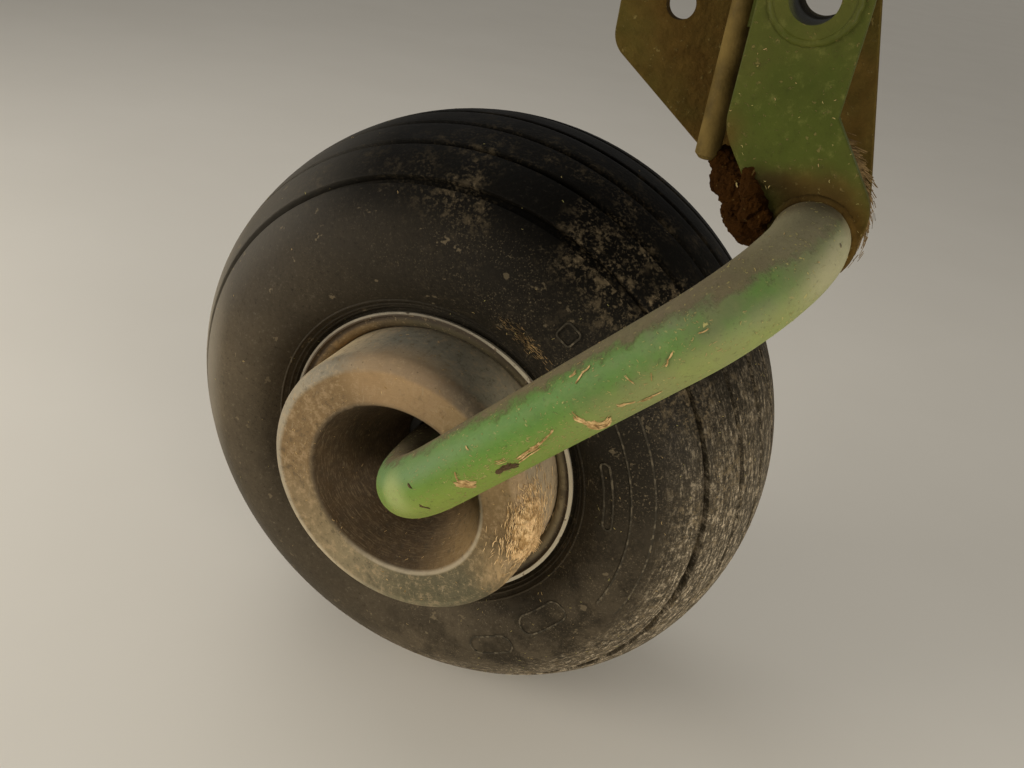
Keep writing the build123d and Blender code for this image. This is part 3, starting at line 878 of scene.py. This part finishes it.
def seen(surface, pixel):
    """The point and the normal of the surface at a pixel of the photograph."""
    right, up = pixel[0] - picture[0] / 2, picture[1] / 2 - pixel[1]
    ray = camera_right * right + camera_up * up + camera_forward.normalized() * pixel_distance
    place, normal, _, _ = surface.ray_cast(camera_place, ray.normalized())
    return place, normal


leg_surface = surface_of(nodes["crank_leg"])
print("leg at pixel (600, 420):", tuple(round(value, 4) for value in seen(leg_surface, (600, 420))[0]))

# %% [markdown]
# ## Weld beads
# The leg is welded into both plates, and the bush too. A weld bead is a low ripple all the way round, so it
# starts as a torus, and a noise texture moves its surface in and out a little. They are half buried in dust
# in the photograph, so they stay small.

# %% Weld beads round the leg and the bush
weld_noise = bpy.data.textures.new("weld_noise", "CLOUDS")
weld_noise.noise_scale = 0.004


def use_modifier(piece, kind, **settings):
    """Adds one modifier with its settings and applies it."""
    modifier = piece.modifiers.new(kind.lower(), kind)
    for key, value in settings.items():
        setattr(modifier, key, value)
    bpy.ops.object.modifier_apply(modifier=modifier.name)


def weld_ring(name, place, ring, bead):
    """A weld bead round a tube that lies along Y."""
    bpy.ops.object.select_all(action="DESELECT")
    bpy.ops.mesh.primitive_torus_add(
        location=place,
        rotation=(math.pi / 2, 0, 0),
        major_radius=ring,
        minor_radius=bead,
        major_segments=120,
        minor_segments=12,
    )
    piece = close_edit(start_edit(name), 60)
    use_modifier(piece, "DISPLACE", texture=weld_noise, strength=bead * 0.7, mid_level=0.5)
    return piece


leg_radius = 0.0212
bush_radius = 0.02
front_plate, rear_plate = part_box("cheek_front"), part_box("cheek_rear")
weld_table = (
    ("weld_leg_front", (eye.x, front_plate[0][1], eye.z), leg_radius + 0.0006, 0.0024),
    ("weld_leg_inside", (eye.x, front_plate[1][1], eye.z), leg_radius + 0.001, 0.0026),
    ("weld_leg_rear", (eye.x, rear_plate[1][1], eye.z), leg_radius - 0.0005, 0.003),
    ("weld_bush_front", (0, front_plate[0][1], 0), bush_radius + 0.0006, 0.0026),
    ("weld_bush_rear", (0, rear_plate[1][1], 0), bush_radius + 0.0006, 0.0026),
)
for name, place, ring, bead in weld_table:
    weld = weld_ring(name, place, ring, bead)
    bracket.paint(weld)
    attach(weld, "leg")
print("welds:", len(weld_table))

# %% [markdown]
# ## Mud between the plates
# A clod of dried mud hangs between the plates, left of the leg. Blobs are joined and remeshed to one skin,
# and two noise textures roughen it: a coarse one for lumps and a fine one for crumbs.

# %% Mud clod
mud_blobs = (
    ((-0.027, 0.004, -0.094), 0.0085),
    ((-0.021, 0.002, -0.102), 0.011),
    ((-0.013, -0.004, -0.106), 0.013),
    ((-0.010, 0.004, -0.117), 0.0125),
    ((-0.013, 0.010, -0.124), 0.009),
    ((-0.003, 0.002, -0.125), 0.0125),
    ((0.003, 0.006, -0.131), 0.0085),
    ((-0.003, 0.009, -0.135), 0.0055),
    ((0.006, -0.008, -0.112), 0.013),
    ((-0.002, 0.013, -0.1), 0.012),
    ((0.012, 0.002, -0.096), 0.013),
    ((-0.0075, -0.0235, -0.0915), 0.006),
    ((-0.005, -0.0255, -0.0985), 0.0075),
    ((0.0008, -0.027, -0.104), 0.0065),
    ((-0.003, -0.026, -0.1095), 0.0065),
    ((0.0055, -0.0285, -0.109), 0.0048),
    ((0.0035, -0.027, -0.1145), 0.006),
)
coarse_noise = bpy.data.textures.new("mud_lumps", "CLOUDS")
coarse_noise.noise_scale = 0.011
fine_noise = bpy.data.textures.new("mud_crumbs", "CLOUDS")
fine_noise.noise_scale = 0.0028

bpy.ops.object.select_all(action="DESELECT")
blobs = []
for place, size in mud_blobs:
    bpy.ops.mesh.primitive_ico_sphere_add(subdivisions=3, radius=size, location=place)
    blobs.append(bpy.context.object)
for blob in blobs:
    blob.select_set(True)
bpy.ops.object.join()
mud = close_edit(start_edit("mud_clod"))
use_modifier(mud, "REMESH", mode="VOXEL", voxel_size=0.0011)
use_modifier(mud, "DISPLACE", texture=coarse_noise, strength=0.006, mid_level=0.5)
use_modifier(mud, "DISPLACE", texture=fine_noise, strength=0.003, mid_level=0.5)

soil = Finish("dried_mud", Roughness=0.95, Specular_IOR_Level=0.05)
earth = soil.mix(soil.clouds(90, 6, 0.7), (0.009, 0.003, 0.0004), (0.042, 0.016, 0.002))
earth = soil.mix(soil.patches(240, 0.64, 0.68) * 0.4, earth, (0.17, 0.11, 0.035))
soil.dress(earth, soil.clouds(420, 5), 0.001, mud)
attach(mud, "leg")
print("mud faces:", len(mud.data.polygons))

# %% [markdown]
# ## Straw
# Cut grass sticks to everything: crinkled stalks on the leg, a felt of fibres on the guard's lower right,
# and a wisp wound round the bracket's edge. One blade is modelled in three bends: a narrow strip, tapered,
# bent and given a thickness. Every bit of straw is a copy of one of them, turned and scaled, and the copies
# of one place are joined.

# %% Blades of straw
blade_length = 0.01
blade_width = 0.0011
straw_lift = 0.0002


def model_blade(name, bend):
    """A straw blade along X, its middle at the origin."""
    bpy.ops.object.select_all(action="DESELECT")
    bpy.ops.mesh.primitive_grid_add(x_subdivisions=5, y_subdivisions=1, size=1)
    blade = start_edit(name)
    bpy.ops.mesh.select_all(action="SELECT")
    bpy.ops.transform.resize(value=(blade_length, blade_width, 1))
    bpy.ops.mesh.select_all(action="DESELECT")
    bpy.ops.object.mode_set(mode="OBJECT")
    for vertex in blade.data.vertices:
        vertex.select = abs(vertex.co.x) > blade_length * 0.45
    bpy.ops.object.mode_set(mode="EDIT")
    bpy.ops.transform.resize(value=(1, 0.35, 1))
    close_edit(blade)
    use_modifier(blade, "SIMPLE_DEFORM", deform_method="BEND", deform_axis="Z", angle=math.radians(bend))
    use_modifier(blade, "SIMPLE_DEFORM", deform_method="TWIST", deform_axis="X", angle=math.radians(bend / 2))
    use_modifier(blade, "SOLIDIFY", thickness=0.0005, offset=0)
    return blade


blades = [model_blade("blade_straight", 8), model_blade("blade_bent", 35), model_blade("blade_curled", 80)]
print("blade faces:", [len(blade.data.polygons) for blade in blades])

# %% [markdown]
# A blade is laid by a point, the surface's normal there and the way that it points. Random numbers choose
# among the three blades and vary the size, always from a fixed seed, so that each run gives the same straw.

# %% Laying copies of the blade


def lay_straw(name, places, body, finish):
    """Joins a copy of a blade for each (point, normal, way, length, width, blade) into one piece."""
    bpy.ops.object.select_all(action="DESELECT")
    for point, normal, way, length, width, blade in places:
        along = (way - normal * way.dot(normal)).normalized()
        side = normal.cross(along)
        stretch = Matrix.Diagonal((length / blade_length, width / blade_width, width / blade_width, 1))
        turned = Matrix((along, side, normal)).transposed().to_4x4()
        copy = blade.copy()
        copy.data = blade.data.copy()
        copy.data.transform(Matrix.Translation(point) @ turned @ stretch)
        scene.collection.objects.link(copy)
        copy.select_set(True)
        bpy.context.view_layer.objects.active = copy
    bpy.ops.object.join()
    piece = bpy.context.object
    piece.name = name
    piece.data.name = name
    bpy.ops.object.shade_smooth_by_angle(angle=math.radians(40))
    finish.paint(piece)
    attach(piece, body)
    return piece


def blade_at(dice, point, normal, way, lengths, widths, kinds=blades):
    """One blade's place, with its length, width and kind drawn."""
    return point, normal, way, dice.uniform(*lengths), dice.uniform(*widths), dice.choice(kinds)


def jitter(dice, x, y, z):
    """A small random turn of a direction."""
    return Vector((dice.gauss(0, x), dice.gauss(0, y), dice.gauss(0, z)))


def faces_of(piece, in_order):
    """Corners, normal and area of each face. Spin leaves the faces in another order each time, so in_order
    sorts them by their corners and takes the area from the first three."""
    rows = []
    for face in piece.data.polygons:
        corners, area = [piece.data.vertices[corner].co.copy() for corner in face.vertices], face.area
        if in_order:
            corners.sort(key=tuple)
            area = (corners[1] - corners[0]).cross(corners[2] - corners[0]).length
        rows.append((corners, face.normal.copy(), area))
    return sorted(rows, key=lambda row: [tuple(corner) for corner in row[0]]) if in_order else rows


def scattered(piece, count, seed, keep, lengths, widths=(0.0002, 0.0004), in_order=False):
    """Blades spread over a piece's surface; keep gives the chance that one stays at a point."""
    dice = random.Random(seed)
    rows = faces_of(piece, in_order)
    picked = dice.choices(rows, weights=[area for corners, normal, area in rows], k=count * 30)
    found = []
    for corners, normal, area in picked:
        one, other = sorted((dice.random(), dice.random()))
        point = corners[0] * one + corners[1] * (other - one) + corners[2] * (1 - other)
        if dice.random() < keep(point, normal):
            found.append((point, normal))
        if len(found) == count:
            break
    places = []
    for point, normal in found:
        heading = Vector([dice.uniform(-1, 1) for _ in range(3)])
        places.append(blade_at(dice, point + normal * straw_lift, normal, heading, lengths, widths))
    return places


def stem_finish(name, rough, shine, scale, cut, dark, light):
    """A finish for stems: two hues in patches, with fine bumps."""
    finish = Finish(name, Roughness=rough, Specular_IOR_Level=shine)
    finish.dress(finish.mix(finish.patches(scale, *cut), dark, light), finish.clouds(900, 2), 0.0001)
    return finish


straw = stem_finish("straw", 0.8, 0.2, 260, (0.35, 0.65), (0.24, 0.14, 0.045), (0.56, 0.38, 0.17))
chaff_finish = stem_finish("chaff", 0.8, 0.2, 70, (0.4, 0.6), (0.3, 0.27, 0.09), (0.36, 0.25, 0.11))
print("straw ready")

# %% [markdown]
# The bits that stand out on the leg follow the pixels of the photograph. Each is a bundle: a few thin blades
# laid end to end along a line of pixels, with a little scatter, which reads as one crinkled stalk.

# %% Stalks that show in the photograph
stalk_table = (
    (((574, 417), (581, 420), (588, 424), (596, 426)), 6, 1.3, 0.001),
    (((588, 424), (597, 427), (606, 424), (611, 419)), 7, 1.4, 0.0011),
    (((592, 421), (600, 423), (607, 420)), 3, 0.8, 0.0008),
    (((572, 413), (577, 417)), 2, 0.5, 0.0005),
    (((519, 459), (528, 452), (539, 446)), 5, 1.1, 0.0007),
    (((521, 456), (531, 449), (540, 443)), 2, 0.6, 0.0005),
    (((537, 446), (546, 438), (554, 430)), 3, 0.6, 0.0006),
    (((618, 406), (626, 404), (635, 402)), 3, 0.7, 0.0006),
    (((624, 376), (633, 383)), 2, 0.6, 0.0004),
    (((667, 367), (669, 360), (673, 353)), 2, 0.5, 0.0006),
    (((576, 382), (582, 373), (590, 366)), 2, 0.6, 0.0005),
    (((571, 378), (577, 373)), 2, 0.6, 0.0005),
    (((651, 373), (652, 381)), 1, 0.2, 0.0004),
    (((455, 472), (456, 478), (460, 483)), 2, 0.5, 0.0008),
    (((457, 484), (465, 485), (475, 486)), 9, 1.5, 0.0012),
    (((640, 402), (650, 398), (660, 393)), 3, 1.6, 0.0004),
    (((700, 333), (709, 329)), 2, 0.6, 0.0005),
    (((496, 463), (506, 460)), 3, 1.2, 0.0004),
    (((466, 447), (469, 451)), 1, 0.2, 0.0007),
)


def stalk_places(surface, table, dice):
    """Blades for bundles of (pixels, strands, scatter in pixels, blade width in metres)."""
    places = []
    for pixels, strands, scatter, width in table:
        for _ in range(strands):
            shift = (dice.gauss(0, scatter), dice.gauss(0, scatter))
            line = [(x + shift[0] + dice.gauss(0, 0.3), y + shift[1] + dice.gauss(0, 0.3)) for x, y in pixels]
            for start, end in zip(line, line[1:]):
                first, first_normal = seen(surface, start)
                last, last_normal = seen(surface, end)
                if first is None or last is None:
                    continue
                normal = (first_normal + last_normal).normalized()
                way = last - first
                middle = first.lerp(last, 0.5) + normal * dice.uniform(0.0001, 0.0006)
                size = (way.length * 1.15, width * dice.uniform(0.7, 1.2))
                places.append((middle, normal, way, *size, dice.choice(blades)))
    return places


dice = random.Random(21)
lay_straw("stalks_on_leg", stalk_places(leg_surface, stalk_table, dice), "leg", straw)

dead_leaf = Finish("dead_leaf", Roughness=0.8, Specular_IOR_Level=0.2)
leaf_hue = dead_leaf.mix(dead_leaf.clouds(400, 4), (0.03, 0.018, 0.008), (0.12, 0.07, 0.03))
dead_leaf.dress(leaf_hue, dead_leaf.clouds(700, 3), 0.0002)
leaf_table = (
    (((498, 472), (504, 468), (511, 466), (518, 465)), 6, 1.0, 0.0011),
    (((420, 506), (429, 508)), 2, 0.5, 0.0008),
    (((409, 484), (411, 488)), 2, 0.4, 0.001),
)
lay_straw("leaves_on_leg", stalk_places(leg_surface, leaf_table, dice), "leg", dead_leaf)
print("stalks and leaves laid")

# %% [markdown]
# Fine chaff lies over everything. It could be a texture, but real bits catch the light and stand out at the
# edges, so short blades are scattered: a seed picks faces by their area, and a small function for each piece
# says how likely a bit is to stay there. Two lots follow the pixels where the photograph shows more of it.

# %% Fine chaff on the leg, the plates and the wheel


def on_leg(point, normal):
    """More chaff on the leg's underside, some everywhere."""
    return 0.3 + 0.5 * max(-normal.z, 0) + 0.2 * max(normal.z, 0)


def on_plate(point, normal):
    """Chaff on the plate's front, little on its edges and back."""
    return 0.9 if normal.y < -0.5 else 0.1


def on_guard_face(point, normal):
    """Chaff on the guard's ring and in its funnel, none behind."""
    return 0.0 if normal.y > 0.3 or point.y > wheel_centre.y - 0.093 else 0.6


def on_tyre(point, normal):
    """Chaff sticks to the ribs of the wheel's right side and lies thin elsewhere."""
    off = point - wheel_centre
    return 0.8 if off.x > 0.02 and off.z < 0.16 and off.y < 0.04 else 0.12


chaff = scattered(nodes["crank_leg"], 460, 11, on_leg, (0.0007, 0.0024))
lay_straw("chaff_on_leg", chaff, "leg", chaff_finish)
chaff = scattered(nodes["cheek_front"], 34, 12, on_plate, (0.0007, 0.002), (0.0002, 0.00035))
lay_straw("chaff_on_plate", chaff, "leg", chaff_finish)

strewn_table = (
    ((505, 458), (42, 12), 130),
    ((600, 418), (38, 12), 70),
    ((440, 470), (28, 18), 50),
    ((690, 345), (40, 20), 30),
    ((580, 385), (40, 12), 24),
    ((560, 448), (60, 7), 90),
)
dice = random.Random(23)
strewn = []
leg_run = (seen(leg_surface, (600, 410))[0] - seen(leg_surface, (500, 460))[0]).normalized()
for middle, spread, count in strewn_table:
    for _ in range(count):
        across = dice.gauss(0, spread[0])
        pixel = (middle[0] + across, middle[1] - across * 0.5 + dice.gauss(0, spread[1]))
        place, normal = seen(leg_surface, pixel)
        if place is None:
            continue
        way = leg_run + jitter(dice, 0.4, 0.4, 0.4)
        point = place + normal * straw_lift
        strewn.append(blade_at(dice, point, normal, way, (0.0008, 0.0028), (0.00014, 0.0003)))
lay_straw("strewn_on_leg", strewn, "leg", chaff_finish)

chaff = scattered(nodes["wrap_guard"], 300, 13, on_guard_face, (0.0008, 0.0026))
lay_straw("chaff_on_guard", chaff, "wheel", straw)
chaff = scattered(tyre, 620, 14, on_tyre, (0.0006, 0.0024), in_order=True)
lay_straw("chaff_on_tyre", chaff, "wheel", chaff_finish)

hay = stem_finish("old_hay", 0.9, 0.2, 120, (0.3, 0.7), (0.06, 0.036, 0.012), (0.26, 0.17, 0.07))
tyre_surface = surface_of(tyre)
dice = random.Random(24)
hay_bits = []
for _ in range(150):
    slant, across = dice.gauss(0, 10), dice.gauss(0, 2.4)
    place, normal = seen(tyre_surface, (527 + slant + across, 342 + slant - across))
    way = camera_right * dice.gauss(1, 0.5) - camera_up * dice.gauss(0.8, 0.5)
    point = place + normal * dice.uniform(0.0002, 0.0008)
    hay_bits.append(blade_at(dice, point, normal, way, (0.001, 0.004), (0.00014, 0.00034)))
lay_straw("hay_on_tyre", hay_bits, "wheel", hay)
print("chaff laid")

# %% [markdown]
# The felt on the guard's lower right is some two thousand short fibres that lie round the drum in arcs, as
# the grass has been wound on. Pixels are drawn round the felt's middle in the photograph, more of them in
# the middle. At its lower end the fibres stand out over the edge like a fringe.

# %% Felt of hay on the guard
guard_surface = surface_of(nodes["wrap_guard"])
drum_edge = wheel_centre.y - 0.06
fringe_lift = 0.0015
felt_table = (
    ((528, 538), (7, 10), 1200),
    ((533, 516), (5, 13), 460),
    ((522, 519), (7, 10), 170),
    ((523, 553), (8, 4), 230),
    ((507, 545), (12, 13), 70),
    ((538, 497), (8, 14), 110),
)
dice = random.Random(15)
felt = []
for middle, spread, count in felt_table:
    for _ in range(count):
        pixel = (dice.gauss(middle[0], spread[0]), dice.gauss(middle[1], spread[1]))
        place, normal = seen(guard_surface, pixel)
        if place is None or place.y > drum_edge:
            continue
        out = (place - wheel_centre) * Vector((1, 0, 1))
        round_way = Vector((out.z, 0, -out.x)).normalized()
        way = round_way + jitter(dice, 0.22, 0.35, 0.22)
        point = place + normal * dice.uniform(0.0002, 0.0016)
        felt.append(blade_at(dice, point, normal, way, (0.003, 0.0075), (0.00018, 0.0004)))
for _ in range(170):
    place, normal = seen(guard_surface, (dice.uniform(530, 543), dice.uniform(537, 557)))
    if place is not None and place.y < drum_edge:
        way = camera_right * dice.gauss(0.5, 0.3) - camera_up * dice.gauss(1, 0.25)
        towards = (camera_place - place).normalized()
        size = (dice.uniform(0.0035, 0.0075), dice.uniform(0.00025, 0.0005))
        felt.append((place + normal * fringe_lift, towards, way, *size, blades[0]))
felt_hay = stem_finish("felt_hay", 0.85, 0.15, 200, (0.35, 0.65), (0.4, 0.24, 0.09), (0.82, 0.58, 0.3))
lay_straw("felt_on_guard", felt, "wheel", felt_hay)
print("felt blades:", len(felt))

# %% [markdown]
# A wisp of hay is wound round the bracket's lower right edge, between the plates. Its blades follow the
# edge's round line, with a little disorder, and some ends hang down. A few stalks stick to the mud beside it.

# %% Wisp of hay at the bracket's edge
wisp_line = (
    Vector((0.034, 0, -0.068)),
    Vector((0.043, 0, -0.078)),
    Vector((0.051, 0, -0.089)),
    Vector((0.0565, 0, -0.102)),
    Vector((0.0575, 0, -0.115)),
    Vector((0.054, 0, -0.128)),
    Vector((0.0455, 0, -0.1375)),
    Vector((0.035, 0, -0.142)),
)
dice = random.Random(16)
wisp = []
for _ in range(1500):
    span = dice.randrange(len(wisp_line) - 1)
    point = wisp_line[span].lerp(wisp_line[span + 1], dice.random())
    outward = (point - eye) * Vector((1, 0, 1))
    outward.normalize()
    point = point + outward * dice.gauss(-0.003, 0.0026)
    point.y = dice.uniform(-0.0195, 0.0195)
    along = (wisp_line[span + 1] - wisp_line[span]).normalized()
    way = along + jitter(dice, 0.14, 0.25, 0.14)
    wisp.append(blade_at(dice, point, outward, way, (0.004, 0.0095), (0.0003, 0.0008), blades[:2]))
lay_straw("wisp_at_bracket", wisp, "leg", hay)

muddy_surface = surface_of(nodes["cheek_front"], mud)
muddy_table = (
    ((-0.006, -0.019, -0.101), (0.0145, -0.03, -0.0895), 0.0007),
    ((-0.004, -0.019, -0.1015), (0.008, -0.03, -0.094), 0.0005),
    ((-0.0148, -0.012, -0.0994), (-0.0135, -0.012, -0.1019), 0.0009),
    ((-0.0046, -0.02, -0.1103), (-0.0029, -0.02, -0.1144), 0.0013),
    ((-0.0009, -0.022, -0.1104), (0.0028, -0.022, -0.1117), 0.0014),
)
stalks = []
for start, end, width in muddy_table:
    middle, normal, _, _ = muddy_surface.find_nearest((Vector(start) + Vector(end)) / 2)
    way = Vector(end) - Vector(start)
    stalks.append((middle + normal * 0.001, normal, way, way.length, width, blades[0]))
lay_straw("stalks_in_mud", stalks, "leg", chaff_finish)
for blade in blades:
    bpy.data.objects.remove(blade)
print("wisp blades:", len(wisp))

# %% [markdown]
# ## Blank panels on the sidewall
# The moulding has small raised frames and one long raised band where the real tyre carries its words. The
# words are left off and the frames stay. Each starts as a flat plane with bevelled corners; an inset leaves
# the frame, and bisects cut it into short steps. Then it is bent to the radius, laid on the sidewall by a
# shrinkwrap and thickened. The frames are paler than the rubber round them.

# %% Raised frames and the band
panel_table = (
    ("panel_band", 6.5, 0.1648, 0.016, 57, 0.4),
    ("panel_frame_inner", 13.0, 0.1415, 0.0078, 21, 0.48),
    ("panel_frame_low", -38.5, 0.1433, 0.0164, 17.5, 0.48),
    ("panel_frame_bottom", -59.7, 0.1542, 0.0166, 13.7, 0.48),
    ("panel_frame_square", 56.5, 0.1627, 0.0125, 4.6, 0.25),
)
frame_line = 0.0011
frame_rise = 0.0008
# The frames' finish is paler than the rubber round them.
rubbed = Finish("rubbed_rubber", Roughness=0.8, Specular_IOR_Level=0.1)
rub = rubbed.mix(rubbed.patches(200, 0.45, 0.66, detail=7.0), (0.036, 0.03, 0.02), (0.125, 0.102, 0.066))
rubbed.dress(rub, rubbed.clouds(420, 3), 0.0003)


def sidewall_panel(name, middle, radius, width, turn, rounding):
    """A panel on the sidewall: its middle and turn in degrees round the axle, its middle radius and width."""
    length = radius * math.radians(turn)
    bpy.ops.object.select_all(action="DESELECT")
    bpy.ops.mesh.primitive_plane_add(size=1)
    panel = start_edit(name)
    bpy.ops.mesh.select_all(action="SELECT")
    bpy.ops.transform.resize(value=(length, width, 1))
    bpy.ops.mesh.bevel(offset=width * rounding, segments=8, affect="VERTICES")
    bpy.ops.mesh.select_all(action="SELECT")
    bpy.ops.mesh.inset(thickness=frame_line)
    if "frame" in name:
        bpy.ops.mesh.delete(type="FACE")
    cuts = max(8, int(turn))
    for index in range(1, cuts):
        bpy.ops.mesh.select_all(action="SELECT")
        bpy.ops.mesh.bisect(plane_co=(length * (index / cuts - 0.5), 0, 0), plane_no=(1, 0, 0))
    for share in (-0.25, 0, 0.25):
        bpy.ops.mesh.select_all(action="SELECT")
        bpy.ops.mesh.bisect(plane_co=(0, width * share, 0), plane_no=(0, 1, 0))
    close_edit(panel)
    use_modifier(panel, "SIMPLE_DEFORM", deform_method="BEND", deform_axis="Z", angle=math.radians(turn))
    angle = math.radians(middle)
    outward = Vector((math.cos(angle), 0, math.sin(angle)))
    onward = Vector((-math.sin(angle), 0, math.cos(angle)))
    turned = Matrix((onward, -outward, Vector((0, -1, 0)))).transposed().to_4x4()
    panel.data.transform(Matrix.Translation(wheel_centre + outward * radius + Vector((0, -0.12, 0))) @ turned)
    use_modifier(
        panel,
        "SHRINKWRAP",
        target=tyre,
        wrap_method="PROJECT",
        use_project_x=False,
        use_project_y=True,
        use_project_z=False,
        use_positive_direction=True,
        use_negative_direction=True,
    )
    use_modifier(panel, "SOLIDIFY", thickness=frame_rise * 2, offset=0)
    bpy.ops.object.shade_smooth_by_angle(angle=math.radians(40))
    return panel


for name, middle, radius, width, turn, rounding in panel_table:
    panel = sidewall_panel(name, middle, radius, width, turn, rounding)
    rubbed.paint(panel)
    if "band" in name:
        panel.data.materials.append(rubber.material)
        for face in panel.data.polygons:
            off = (face.center - wheel_centre) * Vector((1, 0, 1))
            face.material_index = int(abs(off.length - radius) < width / 2 - frame_line)
    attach(panel, "wheel")
    print(name, "faces:", len(panel.data.polygons))
